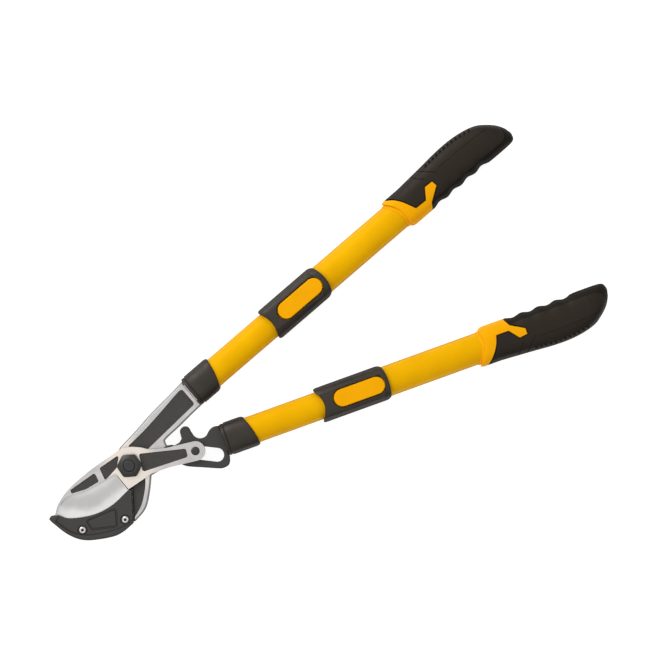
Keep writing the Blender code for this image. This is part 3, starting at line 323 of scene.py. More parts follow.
class Graph:
    """The nodes of one material, with its tree and its Principled shader."""

    def __init__(self, name: str) -> None:
        """Starts a material with a Principled shader.

        Args:
            name: Name of the material.
        """
        self.material = bpy.data.materials.new(name)
        self.material.use_nodes = True
        self.tree = self.material.node_tree
        self.shader = self.tree.nodes["Principled BSDF"]

    def node(self, kind: str, settings: dict | None = None, inputs: dict | None = None) -> bpy.types.Node:
        """Adds a node.

        Args:
            kind: Its type.
            settings: Its own settings by name, which are set first.
            inputs: Values or links by socket name or number.

        Returns:
            The node.
        """
        made = self.tree.nodes.new(kind)
        for name, value in (settings or {}).items():
            setattr(made, name, value)
        for name, value in (inputs or {}).items():
            self.feed(made.inputs[name], value)
        return made

    def feed(self, socket: Socket, value: "Value | Socket | float | Point") -> None:
        """Links a value to a socket, or sets a constant on it.

        Args:
            socket: The socket.
            value: The value, a socket or a constant.
        """
        if isinstance(value, Value):
            value = value.socket
        if isinstance(value, Socket):
            self.tree.links.new(value, socket)
        else:
            socket.default_value = value

    def maths(self, operation: str, first: Value | float, second: Value | float) -> Value:
        """One Math node."""
        made = self.node("ShaderNodeMath", {"operation": operation}, {0: first, 1: second})
        return Value(self, made.outputs["Value"])

    def place(self) -> Socket:
        """The point on the piece, in metres."""
        return self.node("ShaderNodeTexCoord").outputs["Object"]

    def mapped(self, turn: float, stretch: Point) -> Socket:
        """The point turned about Z by an angle in degrees, then stretched.

        Args:
            turn: The angle.
            stretch: Factor along each axis.

        Returns:
            The new point's socket.
        """
        turned = self.node("ShaderNodeMapping", {"vector_type": "POINT"},
                           {"Vector": self.place(), "Rotation": (0.0, 0.0, math.radians(-turn))})
        made = self.node("ShaderNodeVectorMath", {"operation": "MULTIPLY"}, {0: turned.outputs[0], 1: stretch})
        return made.outputs["Vector"]

    def noise(self, size: float, detail: float = 2.0, vector: Socket | None = None) -> Value:
        """Soft noise.

        Args:
            size: Size of its patches in metres.
            detail: Number of finer layers.
            vector: Where it is read, if not on the piece itself.

        Returns:
            The noise.
        """
        made = self.node("ShaderNodeTexNoise", None,
                         {"Vector": vector or self.place(), "Scale": 1 / size, "Detail": detail})
        return Value(self, made.outputs["Fac"])

    def away_from(self, centre: Point) -> Value:
        """Distance from an upright axis.

        Args:
            centre: Place of the axis.

        Returns:
            The distance in metres.
        """
        flat = self.node("ShaderNodeVectorMath", {"operation": "MULTIPLY"}, {0: self.place(), 1: (1, 1, 0)})
        made = self.node("ShaderNodeVectorMath", {"operation": "DISTANCE"},
                         {0: flat.outputs["Vector"], 1: (*centre, 0.0)})
        return Value(self, made.outputs["Value"])

    def level(self) -> Value:
        """1 where the surface lies level and 0 where it stands upright.

        Returns:
            The value from 0 to 1.
        """
        normal = self.node("ShaderNodeTexCoord").outputs["Normal"]
        height = Value(self, self.node("ShaderNodeSeparateXYZ", None, {"Vector": normal}).outputs["Z"])
        return height * height

    def steep(self) -> Value:
        """1 on flanks that stand nearly upright and 0 elsewhere."""
        return 1 - self.level().band(0.04, 0.4)

    def mix(self, share: Value, first: Point | Socket, second: Point | Socket) -> Socket:
        """Mixes two colours.

        Args:
            share: Share of the second one.
            first: A colour of three numbers, or a colour's socket.
            second: Another.

        Returns:
            The mixed colour's socket.
        """
        ends = [(*end, 1.0) if isinstance(end, tuple) else end for end in (first, second)]
        made = self.node("ShaderNodeMix", {"data_type": "RGBA"}, {0: share, 6: ends[0], 7: ends[1]})
        return made.outputs[2]

    def bump(self, height: Value, depth: float, strength: float = 1.0) -> None:
        """Roughens the surface by a height of this depth in metres."""
        made = self.node("ShaderNodeBump", None, {"Height": height, "Distance": depth, "Strength": strength})
        self.feed(self.shader.inputs["Normal"], made.outputs["Normal"])

    def finish(self, **inputs: "Value | Socket | float | Point") -> Material:
        """Feeds the shader's sockets, named with _ for a space, and hands over the material.

        Args:
            inputs: What each socket takes.

        Returns:
            The material.
        """
        for name, value in inputs.items():
            self.feed(self.shader.inputs[name.replace("_", " ").title().replace("Ior", "IOR")], value)
        return self.material


@dataclass(frozen=True)
class SilverCoat:
    """Satin silver coat over forged steel: mottled, with painted shade that darkens its sloping rims and dulls
    their metal, and creamier round the hub.
    """

    name: str = "silver_coat"
    light: Point = (0.60, 0.58, 0.57)
    dark: Point = (0.46, 0.447, 0.443)
    # painted shade: the darker colour that the sloping rims take
    rim: Point = (0.25, 0.245, 0.24)
    hub: Point = (0.80, 0.72, 0.635)
    hub_radius: float = 24 * MM
    cloud_size: float = 14 * MM
    mottle_size: float = 1.8 * MM
    grain_size: float = 0.35 * MM
    rim_shade_levels: Point = (0.83, 0.96)

    def material(self) -> Material:
        """Builds the finish.

        Returns:
            The material.
        """
        graph = Graph(self.name)
        cloud = graph.noise(self.cloud_size, 3).band(*PATCHY)
        mottle = graph.noise(self.mottle_size, 4).band(0.25, 0.75)
        grain = graph.noise(self.grain_size, 3)
        tone = graph.mix(cloud * 0.55 + mottle * 0.45, self.dark, self.light)
        near = 1 - graph.away_from((0.0, 0.0)).band(self.hub_radius * 0.8, self.hub_radius * 1.6)
        tone = graph.mix(near * (0.78 + 0.16 * mottle), tone, self.hub)
        # painted shade: faces that slope away from level take the rim colour and lose most of their metal
        slope = 1 - graph.level().band(*self.rim_shade_levels)
        graph.bump(grain, 0.05 * MM, 0.5)
        return graph.finish(base_color=graph.mix(slope, tone, self.rim), metallic=1 - 0.8 * slope,
                            roughness=0.29 + 0.08 * cloud + 0.05 * grain)


@dataclass(frozen=True)
class GroundSteel:
    """Ground zone of the blade: painted reflections make it brightest along the edge, lighter again by the
    grind line and grey in the hollow, and it is cloudy.
    """

    name: str = "ground_steel"
    light: Point = (0.86, 0.84, 0.82)
    dark: Point = (0.46, 0.455, 0.455)
    line_turn: float = 100.0
    centre: Point = (-33.0 * MM, 60.0 * MM)
    edge_radius: float = 81.0 * MM
    # painted reflections: widths over which the light bands along the edge and by the grind line fade
    edge_glint_fade: float = 12 * MM
    grind_glint_fade: Point = (28 * MM, 16 * MM)
    cloud_size: float = 16 * MM
    wander: float = 14 * MM

    def material(self) -> Material:
        """Builds the finish.

        Returns:
            The material.
        """
        graph = Graph(self.name)
        cloud = graph.noise(self.cloud_size, 3)
        lines = graph.noise(1.0, 2, graph.mapped(self.line_turn, (60.0, 2500.0, 60.0)))
        reach = graph.away_from(self.centre) + self.wander * (cloud - 0.5)
        # painted reflections: a light band along the cutting edge and another by the grind line, grey between
        edge_glint = reach.band(self.edge_radius - self.edge_glint_fade, self.edge_radius - 1 * MM)
        upper = 1 - reach.band(*[self.edge_radius - fade for fade in self.grind_glint_fade])
        share = edge_glint * 0.55 + upper * 0.45 + cloud * 0.3 + lines * 0.1 - 0.08
        graph.bump(lines, 0.02 * MM, 0.35)
        return graph.finish(base_color=graph.mix(share, self.dark, self.light), metallic=1.0,
                            roughness=0.26 + 0.12 * cloud + 0.08 * lines)


@dataclass(frozen=True)
class GrainedPaint:
    """Dark paint or coat with a fine grain: recesses, castings and oxide.

    Attributes:
        name: Name of the finish.
        light: Colour of the high grains.
        dark: Colour of the low grains.
        grain: Size of a grain.
        depth: Depth of the grain.
        roughness: Roughness of the surface.
        metallic: Share of bare metal.
        cloud_size: Size of the patches of its tone.
    """

    name: str
    light: Point
    dark: Point
    grain: float = 0.5 * MM
    depth: float = 0.08 * MM
    roughness: float = 0.5
    metallic: float = 0.0
    cloud_size: float = 11 * MM

    def material(self) -> Material:
        """Builds the finish.

        Returns:
            The material.
        """
        graph = Graph(self.name)
        grain = graph.noise(self.grain, 3)
        cloud = graph.noise(self.cloud_size, 3).band(*PATCHY)
        graph.bump(grain, self.depth, 0.6)
        tone = graph.mix(grain.band(0.35, 0.65) * 0.7 + cloud * 0.3, self.dark, self.light)
        return graph.finish(base_color=tone, metallic=self.metallic,
                            roughness=self.roughness - 0.05 + 0.12 * cloud + 0.06 * grain)


@dataclass(frozen=True)
class MouldedPlastic:
    """Moulded plastic or rubber with a fine spark-eroded texture.

    Attributes:
        name: Name of the finish.
        light: Its colour where it is palest.
        dark: Its colour where it is deepest.
        texture: Size of the texture.
        depth: Depth of the texture.
        roughness: Roughness of the surface.
        specular: Strength of its plain reflection.
        tint: Colour of that reflection.
        sheen: Weight of its dusty sheen.
        flow_size: Size of the patches of its tone.
        rub_size: Size of the patches that hands have polished.
    """

    name: str
    light: Point
    dark: Point
    texture: float = 0.35 * MM
    depth: float = 0.05 * MM
    roughness: float = 0.42
    specular: float = 0.5
    tint: Point = (1.0, 0.92, 0.84)
    sheen: float = 0.0
    flow_size: float = 22 * MM
    rub_size: float = 5 * MM

    def material(self) -> Material:
        """Builds the finish.

        Returns:
            The material.
        """
        graph = Graph(self.name)
        texture = graph.noise(self.texture, 2)
        flow = graph.noise(self.flow_size, 3).band(*PATCHY)
        rub = graph.noise(self.rub_size, 4).band(0.45, 0.75)
        graph.bump(texture, self.depth, 0.6)
        tone = graph.mix(flow * 0.75 + texture * 0.25, self.dark, self.light)
        return graph.finish(base_color=tone, specular_ior_level=self.specular, specular_tint=(*self.tint, 1.0),
                            sheen_weight=self.sheen,
                            roughness=self.roughness + 0.08 * flow - 0.08 * rub + 0.4 * graph.steep())


@dataclass(frozen=True)
class PowderCoat:
    """Glossy powder coat with orange peel over an aluminium tube, with painted shade that turns its upright
    flanks a deeper orange.
    """

    name: str = "powder_coat"
    light: Point = (0.84, 0.435, 0.001)
    dark: Point = (0.78, 0.385, 0.001)
    # painted shade: the deeper orange that the upright flanks take
    flank_shade: Point = (0.56, 0.27, 0.001)
    tint: Point = (1.0, 0.62, 0.03)
    peel: float = 1.3 * MM
    flow_size: float = 40 * MM

    def material(self) -> Material:
        """Builds the finish.

        Returns:
            The material.
        """
        graph = Graph(self.name)
        peel = graph.noise(self.peel, 2)
        flow = graph.noise(self.flow_size, 2).band(*PATCHY)
        graph.bump(peel, 0.03 * MM, 0.5)
        tone = graph.mix(flow * 0.8 + peel * 0.2, self.dark, self.light)
        return graph.finish(base_color=graph.mix(graph.steep(), tone, self.flank_shade),
                            specular_ior_level=0.4, specular_tint=(*self.tint, 1.0),
                            roughness=0.34 + 0.08 * peel + 0.04 * flow + 0.3 * graph.steep())


@dataclass(frozen=True)
class PlatedMetal:
    """Bright plated or plain turned metal with fine drawing lines and dull spots."""

    name: str
    light: Point
    dark: Point
    roughness: float = 0.24
    spot_size: float = 2.5 * MM

    def material(self) -> Material:
        """Builds the finish.

        Returns:
            The material.
        """
        graph = Graph(self.name)
        lines = graph.noise(1.0, 2, graph.mapped(0.0, (250.0, 250.0, 4000.0)))
        spots = graph.noise(self.spot_size, 4).band(0.4, 0.75)
        graph.bump(lines, 0.02 * MM, 0.3)
        return graph.finish(base_color=graph.mix(spots, self.light, self.dark), metallic=1.0,
                            roughness=self.roughness + 0.12 * spots + 0.05 * lines)


@dataclass
class Palette:
    """The finishes of the lopper, each built once."""

    silver: Material = field(default_factory=SilverCoat().material)
    ground: Material = field(default_factory=GroundSteel().material)
    recess: Material = field(default_factory=GrainedPaint(
        "recess_paint", (0.054, 0.049, 0.043), (0.020, 0.0175, 0.015), 0.7 * MM, 0.12 * MM, 0.62).material)
    casting: Material = field(default_factory=GrainedPaint(
        "black_casting", (0.036, 0.033, 0.030), (0.016, 0.014, 0.013), 0.5 * MM, 0.08 * MM, 0.46).material)
    oxide: Material = field(default_factory=GrainedPaint(
        "black_oxide", (0.024, 0.0215, 0.0205), (0.010, 0.009, 0.0085), 0.3 * MM, 0.03 * MM, 0.36).material)
    plastic: Material = field(default_factory=MouldedPlastic(
        "black_plastic", (0.024, 0.018, 0.014), (0.012, 0.0095, 0.007), specular=0.42).material)
    rubber: Material = field(default_factory=MouldedPlastic(
        "soft_rubber", (0.010, 0.007, 0.0045), (0.006, 0.004, 0.003), 0.45 * MM, 0.07 * MM, 0.46, 0.3,
        (1.0, 0.86, 0.70), 0.02).material)
    # painted shade: a darker copy of the soft rubber for the lowered band of the grip cover
    sunk_rubber: Material = field(default_factory=MouldedPlastic(
        "sunk_rubber", (0.0055, 0.004, 0.0027), (0.0035, 0.0025, 0.0018), 0.45 * MM, 0.07 * MM, 0.50, 0.22,
        (1.0, 0.86, 0.70)).material)
    amber: Material = field(default_factory=MouldedPlastic(
        "yellow_plastic", (0.90, 0.40, 0.002), (0.86, 0.365, 0.002), 0.4 * MM, 0.03 * MM, 0.40, 0.5,
        (1.0, 0.60, 0.03)).material)
    tube: Material = field(default_factory=PowderCoat().material)
    zinc: Material = field(default_factory=PlatedMetal(
        "bright_zinc", (0.66, 0.65, 0.64), (0.46, 0.45, 0.44)).material)
    bronze: Material = field(default_factory=PlatedMetal(
        "sintered_bronze", (0.42, 0.27, 0.12), (0.26, 0.16, 0.07), 0.4).material)


class Blank:
    """A piece under construction, which bmesh operators shape.

    Attributes:
        bm: Its mesh.
    """

    def __init__(self) -> None:
        """Starts with nothing."""
        self.bm = bmesh.new()

    def face(self, outline: Sequence[Point], height: float) -> Face:
        """Fills an outline at one height, facing up.

        Args:
            outline: The outline.
            height: The height.

        Returns:
            The face.
        """
        corners = [self.bm.verts.new((x, y, height)) for x, y in outline]
        rim = [self.bm.edges.new(pair) for pair in zip(corners, corners[1:] + corners[:1])]
        return self.facing(bmesh.ops.contextual_create(self.bm, geom=rim)["faces"][0], 1)

    def facing(self, face: Face, sign: int) -> Face:
        """Turns a level face up or down.

        Args:
            face: The face.
            sign: 1 for up, -1 for down.

        Returns:
            The face.
        """
        face.normal_update()
        if face.normal.z * sign < 0:
            face.normal_flip()
            face.normal_update()
        return face

    def raised(self, face: Face, rise: float) -> Face:
        """Pushes a flat face along its normal, with walls behind it.

        Args:
            face: The face.
            rise: How far it goes.

        Returns:
            The face in its new place.
        """
        way = face.normal.copy()
        grown = bmesh.ops.extrude_discrete_faces(self.bm, faces=[face])["faces"][0]
        bmesh.ops.translate(self.bm, verts=grown.verts, vec=way * rise)
        grown.normal_update()
        return grown

    def drawn_in(self, face: Face, inset: float, rise: float) -> None:
        """Draws a face in by an even width while it moves along its normal."""
        bmesh.ops.inset_region(self.bm, faces=[face], thickness=inset, depth=rise, use_even_offset=True)
        face.normal_update()

    def round_over(self, face: Face, width: float, steps: int = 4) -> None:
        """Ends a wall in a rounded rim that leads over to the face.

        Args:
            face: The face at the end of the wall.
            width: Radius of the rim.
            steps: Facets over the rim.
        """
        for index in range(steps if width > 0 else 0):
            a, b = (math.pi / 2 * turn / steps for turn in (index, index + 1))
            self.drawn_in(face, width * (math.cos(a) - math.cos(b)), width * (math.sin(b) - math.sin(a)))

    def eased(self, face: Face, width: float) -> None:
        """Ends a wall in the rim of a forging: a steep start, a wide slope and a soft lead to the face.

        Args:
            face: The face at the end of the wall.
            width: Width of the rim.
        """
        for share, slope in RIM_SLOPES:
            self.drawn_in(face, width * share, width * share * math.tan(math.radians(slope)))

    def lead_in(self, face: Face, radius: float, steps: int = 3) -> None:
        """Leads from a level face round into a wall that goes the face's way.

        Args:
            face: The level face.
            radius: Radius of the lead.
            steps: Facets over it.
        """
        for index in range(steps if radius > 0 else 0):
            a, b = (math.pi / 2 * turn / steps for turn in (index, index + 1))
            self.drawn_in(face, radius * (math.sin(b) - math.sin(a)), radius * (math.cos(a) - math.cos(b)))

    def slab(self, outline: Sequence[Point], low: float, high: float, over: float = 0.0,
             under: float = 0.0, finish: int = 0, forged: bool = False) -> "Blank":
        """Adds a plate.

        Args:
            outline: Its outline, counter-clockwise.
            low: Height of its underside.
            high: Height of its top.
            over: Width of its upper rim.
            under: Width of its lower rim.
            finish: Number of the finish that its faces take.
            forged: Whether its rims are eased as a forging's are, and not round.

        Returns:
            The work itself.
        """
        known = set(self.bm.faces)
        rise = RIM_RISE if forged else 1.0
        end = self.eased if forged else self.round_over
        base = self.face(outline, low + under * rise)
        grown = bmesh.ops.extrude_face_region(self.bm, geom=[base])["geom"]
        top = next(item for item in grown if isinstance(item, Face))
        bmesh.ops.translate(self.bm, verts=top.verts, vec=(0, 0, high - low - (over + under) * rise))
        for face, sign, width in ((top, 1, over), (base, -1, under)):
            if width > 0:
                end(self.facing(face, sign), width)
        for made in set(self.bm.faces) - known:
            made.material_index = finish
        return self

    def pocket(self, outline: Sequence[Point], floor: float, land: float, rim: float = 0.3 * MM,
               fillet: float = 0.25 * MM, finish: int = 0) -> "Blank":
        """Adds a cutter for a recess.

        Args:
            outline: The recess, counter-clockwise.
            floor: Height of its floor.
            land: Height of the face that it is cut into.
            rim: Radius over which the face leads into the recess.
            fillet: Radius at the foot of its wall.
            finish: Number of the finish of its wall and floor.

        Returns:
            The work itself.
        """
        known = set(self.bm.faces)
        cap = self.face(moved_out(outline, rim), land + PROUD_CUT)
        grown = bmesh.ops.extrude_face_region(self.bm, geom=[cap])["geom"]
        foot = next(item for item in grown if isinstance(item, Face))
        bmesh.ops.translate(self.bm, verts=foot.verts, vec=(0, 0, -PROUD_CUT))
        self.lead_in(self.facing(foot, -1), rim)
        foot = self.raised(foot, land - rim - floor - fillet)
        self.round_over(foot, fillet)
        for made in set(self.bm.faces) - known:
            deep = made.calc_center_median().z < land - rim * 0.6
            made.material_index = finish if deep else 0
        return self

    def lathe(self, profile: Sequence[Point], centre: Point = (0.0, 0.0), count: int = 48) -> "Blank":
        """Turns a profile of radius and height about an upright axis.

        Args:
            profile: Its points, either closed or from axis to axis.
            centre: Place of the axis.
            count: Faces round the axis.

        Returns:
            The work itself.
        """
        points = [self.bm.verts.new((centre[0] + radius, centre[1], height)) for radius, height in profile]
        first = 1 if profile[0][0] == 0 else 0
        lines = [self.bm.edges.new((points[index - 1], points[index])) for index in range(first, len(points))]
        bmesh.ops.spin(self.bm, geom=points + lines, cent=(*centre, 0), axis=(0, 0, 1), angle=math.tau,
                       steps=count, use_merge=True)
        bmesh.ops.remove_doubles(self.bm, verts=self.bm.verts, dist=0.001 * MM)
        return self

    def loft(self, rings: Sequence[Sequence[Point]], closed: bool = False) -> "Blank":
        """Grows a skin from ring to ring.

        Args:
            rings: Rings of equal count.
            closed: Whether the last ring joins the first, as round a tube's wall; else both ends are filled.

        Returns:
            The work itself.
        """
        start = [self.bm.verts.new(point) for point in rings[0]]
        rim = [self.bm.edges.new(pair) for pair in zip(start, start[1:] + start[:1])]
        if not closed:
            bmesh.ops.contextual_create(self.bm, geom=rim)
        corners = start
        for ring in list(rings[1:]) + ([rings[0]] if closed else []):
            corners, rim = self.grown(corners, rim, ring)
        if closed:
            bmesh.ops.remove_doubles(self.bm, verts=start + corners, dist=0.0001 * MM)
        else:
            bmesh.ops.contextual_create(self.bm, geom=rim)
        return self

    def grown(self, corners: Sequence[bmesh.types.BMVert], lines: Sequence[bmesh.types.BMEdge],
              places: Sequence[Point]) -> tuple[list[bmesh.types.BMVert], list[bmesh.types.BMEdge]]:
        """Extrudes a run of edges to new places.

        Args:
            corners: The run's corners in order.
            lines: Its edges.
            places: Where each new corner goes.

        Returns:
            The new corners in the same order, and the new run's edges.
        """
        made = bmesh.ops.extrude_edge_only(self.bm, edges=lines)["geom"]
        fresh = {item for item in made if isinstance(item, bmesh.types.BMVert)}
        ahead = []
        for corner, place in zip(corners, places):
            side = next(edge for edge in corner.link_edges if edge.other_vert(corner) in fresh)
            ahead.append(side.other_vert(corner))
            ahead[-1].co = place
        pairs = zip(ahead, ahead[1:] + ahead[:1])
        return ahead, [line for pair in pairs if (line := self.bm.edges.get(pair))]

    def placed(self, matrix: Matrix) -> "Blank":
        """Moves all of it, and hands it over."""
        bmesh.ops.transform(self.bm, matrix=matrix, verts=self.bm.verts)
        return self

    def make(self, name: str, *finishes: Material) -> Piece:
        """Closes the work and makes the object.

        Args:
            name: Name of the piece.
            finishes: Its finishes, in the order of their numbers.

        Returns:
            The object, at the origin.
        """
        bmesh.ops.recalc_face_normals(self.bm, faces=self.bm.faces)
        mesh = bpy.data.meshes.new(name)
        self.bm.to_mesh(mesh)
        self.bm.free()
        for finish in finishes:
            mesh.materials.append(finish)
        made = bpy.data.objects.new(name, mesh)
        bpy.context.scene.collection.objects.link(made)
        return made


Tool = tuple[Blank, Change]


def tang(start: Point, middle: float) -> Blank:
    """The tongue of a plate that sits in an inner tube.

    Args:
        start: Head end of the handle.
        middle: Height of the tube's middle.

    Returns:
        The work.
    """
    (x, y), (length, half_width, half_height), rim = start, LAYOUT.tang, LAYOUT.tang_rim
    outline = oblong(x - LAYOUT.tang_root, x + length, y - half_width, y + half_width)
    return Blank().slab(outline, middle - half_height, middle + half_height, rim, rim)


def carved(target: Piece, *tools: Tool) -> Piece:
    """Puts tools to a piece, one after the other.

    Args:
        target: The piece.
        tools: Each tool with what it does.

    Returns:
        The piece, with the result as its mesh.
    """
    cutters = []
    for tool, change in tools:
        cutter = tool.make(f"{target.name}_tool", *target.data.materials)
        step = target.modifiers.new(change.name, "BOOLEAN")
        step.operation = change.value
        step.solver = "EXACT"
        step.material_mode = "INDEX"
        step.object = cutter
        cutters.append(cutter)
    bpy.context.view_layer.update()
    result = bpy.data.meshes.new_from_object(target.evaluated_get(bpy.context.evaluated_depsgraph_get()))
    target.modifiers.clear()
    spent = target.data
    target.data = result
    result.name = target.name
    bpy.data.meshes.remove(spent)
    for cutter in cutters:
        bpy.data.meshes.remove(cutter.data)
    return target


def shaded(piece: Piece, crease: float = 34.0) -> Piece:
    """Shades curves smooth, and leaves level faces flat and edges above the crease angle sharp.

    Args:
        piece: The piece.
        crease: That angle in degrees.

    Returns:
        The piece.
    """
    mesh = piece.data
    mesh.shade_smooth()
    mesh.set_sharp_from_angle(angle=math.radians(crease))
    for polygon in mesh.polygons:
        if abs(polygon.normal.z) > FLAT_NORMAL:
            polygon.use_smooth = False
    return piece


def fitted(piece: Piece, body: str, slot: str, *nodes: str) -> Piece:
    """Puts a finished piece on its body.

    Args:
        piece: The piece.
        body: Name of the body that it rides on.
        slot: The record's slot that its finish belongs to; not used.
        nodes: CAD nodes that it stands for.

    Returns:
        The piece.
    """
    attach(piece, body)
    if nodes:
        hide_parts(*nodes)
    LOG.info("%s rides on %s: %d faces", piece.name, body, len(piece.data.polygons))
    return piece


def dressed(finish: Material, *nodes: str) -> None:
    """Gives CAD nodes that stay their finish.

    Args:
        finish: The finish.
        nodes: Names of the nodes.
    """
    for node in nodes:
        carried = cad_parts[node]
        if not carried.material_slots:
            carried.data.materials.append(finish)
        for place in carried.material_slots:
            place.material = finish
        LOG.info("%s keeps its solid", node)


@dataclass(frozen=True)
class Hexagon:
    """A nut or a bolt's head, with rounded upright edges and its corners turned off.

    Attributes:
        centre: Place of its axis.
        flats: Width across the flats.
        low: Height of its underside.
        high: Height of its top.
        turn: Angle of one corner in degrees.
        chamfer: How far the chamfer comes down the corners.
        both: Whether the lower corners are chamfered too.
        edge_share: Radius of its upright edges as a share of its width.
        reach_share: Width of the chamfer as a share of its height.
    """

    centre: Point
    flats: float
    low: float
    high: float
    turn: float
    chamfer: float
    both: bool = False
    edge_share: float = 0.15
    reach_share: float = 1.3

    def piece(self, name: str, finish: Material, *tools: Tool) -> Piece:
        """Makes it.

        Args:
            name: Name of the piece.
            finish: Its finish.
            tools: Tools that are put to it after its corners are turned off.

        Returns:
            The shaded piece.
        """
        corner, high = self.flats / math.sqrt(3), self.high
        places = arc(self.centre, corner, self.turn, self.turn + 360, 60)[:-1]
        outline = rounded([(*place, self.flats * self.edge_share) for place in places])
        block = Blank().slab(outline, self.low - (FIT if self.both else 0.0), high + FIT)
        inner = self.flats / 2 - self.chamfer * self.reach_share
        edge = [(corner + FIT, high - self.chamfer), (inner + 0.5 * MM, high - 0.35 * MM),
                (inner - 0.3 * MM, high - 0.08 * MM), (inner - 1.0 * MM, high)]
        lower = [(corner + FIT, self.low - FIT)]
        if self.both:
            lower = [(radius, self.low + high - height) for radius, height in reversed(edge)]
        dome = Blank().lathe([(0, lower[0][1]), *lower, *edge, (0, high)], self.centre, 72)
        return shaded(carved(block.make(name, finish), (dome, Change.KEEP), *tools))


@dataclass
class ForgedArm:
    """The forged arm with the lower jaw: rims rounded over, dark recesses, seat for the anvil and tang."""

    palette: Palette
    low: float = 7.0 * MM
    top: float = 16.0 * MM
    tongue: float = 11.5 * MM
    lug_top: float = 11.2 * MM
    recess: float = 0.7 * MM
    ditch: float = 2.6 * MM
    over: float = 2.3 * MM
    under: float = 1.4 * MM
    hub_radius: float = 21.5 * MM
    lug_radius: float = 9.6 * MM
    step_radius: float = 11.6 * MM
    sweep_radius: float = 17.0 * MM
    washer_radius: float = 16.8 * MM
    washer_depth: float = 1.1 * MM
    end_spread: Point = (16.7 * MM, -18.7 * MM)

    def outline(self) -> list[Point]:
        """The arm with its jaw, hub and lug, counter-clockwise.

        Returns:
            The points of the outline.
        """
        start = LAYOUT.starts[Side.A]
        upper, lower = [(start[0] - FIT, start[1] + across) for across in self.end_spread]
        top = smooth(mm((91.4, 32.6), (58.0, 30.1), (31.4, 26.4), (5.6, 23.6)), 4)
        hub = arc((0, 0), self.hub_radius, 105, 215)
        jaw = smooth(mm((-21.5, -23.2), (-45.5, -24.0), (-67.6, -18.2), (-88.5, -5.0), (-97.0, 3.0)), 5)
        tongue = smooth(mm((-107.8, -2.0), (-104.3, -14.4), (-93.4, -31.4), (-70.7, -46.4), (-56.6, -51.2),
                           (-41.0, -51.4)), 5)
        outer = smooth(mm((-37.7, -53.2), (-24.8, -51.5), (-14.9, -47.4), (-1.1, -36.5), (10.7, -25.0)), 5)
        lug = arc(LAYOUT.lever_pivot, self.lug_radius, -102, 60)
        notch = smooth(mm((47.1, -9.8), (48.5, -5.5), (50.5, -4.1), (57.1, -3.6)), 5)[:-1]
        lower_edge = mm((57.1, -3.6), (73.1, -3.2), (93.1, -1.7))
        return [upper] + top + hub + jaw + tongue + outer + lug + notch + lower_edge + [lower]

    def tools(self) -> list[Tool]:
        """The tang that is joined on, and everything that is cut from the arm.

        Returns:
            The tools in their order.
        """
        pivot = LAYOUT.lever_pivot
        floor, proud = self.top - self.recess, self.top + PROUD_CUT
        seat = Blank().slab(moved_out(CastAnvil.outline(), FIT), self.tongue, proud)
        step = Blank().slab(circle(pivot, self.step_radius), self.lug_top, proud)
        sweep = Blank().slab(arc(pivot, self.sweep_radius, 183, 350) + [pivot], self.lug_top, proud)
        bow = smooth(mm((96.0, 27.7), (89.3, 26.8), (66.9, 23.4), (40.4, 20.0), (18.0, 18.4)), 4)
        panel = (mm((103.0, 28.3, 3)) + [(*place, 0.0) for place in bow]
                 + mm((11.0, 18.0, 2), (24.0, 0.6, 2), (103.0, 5.2, 3)))
        panels = Blank().pocket(rounded(panel), floor, self.top, finish=1)
        outer = smooth(mm((-42.0, -50.5), (-33.9, -48.8), (-19.7, -43.3), (-5.5, -32.7), (1.5, -25.5),
                          (6.0, -19.5)), 5)
        jaw = Blank().slab(outer + mm((-18.0, -19.0), (-25.0, -24.0)), floor, proud, finish=1)
        ditch = Blank().slab(mm((-40.5, -52.3), (-15.0, -19.6), (-13.2, -21.0), (-38.6, -53.6)),
                             floor - self.ditch, proud, finish=1)
        washer = Blank().slab(circle((0, 0), self.washer_radius, 64), self.top - self.washer_depth, proud)
        holes = Blank().slab(circle((0, 0), LAYOUT.hub_bore), 0.0, proud)
        holes.slab(circle(pivot, LAYOUT.lever_bore, 32), 0.0, self.top)
        for place in CastAnvil.screws:
            holes.slab(circle(place, LAYOUT.screw_bore, 24), 0.0, self.top)
        cuts = [(tool, Change.CUT) for tool in (seat, step, sweep, panels, jaw, ditch, washer, holes)]
        return [(tang(LAYOUT.starts[Side.A], self.top), Change.JOIN)] + cuts

    def build(self) -> None:
        """Makes the arm and puts it on the root."""
        body = Blank().slab(self.outline(), self.low, self.top, self.over, self.under, forged=True)
        arm = body.make("forged_arm", self.palette.silver, self.palette.recess)
        fitted(shaded(carved(arm, *self.tools())), "root", "forged_steel", "anvil_arm")


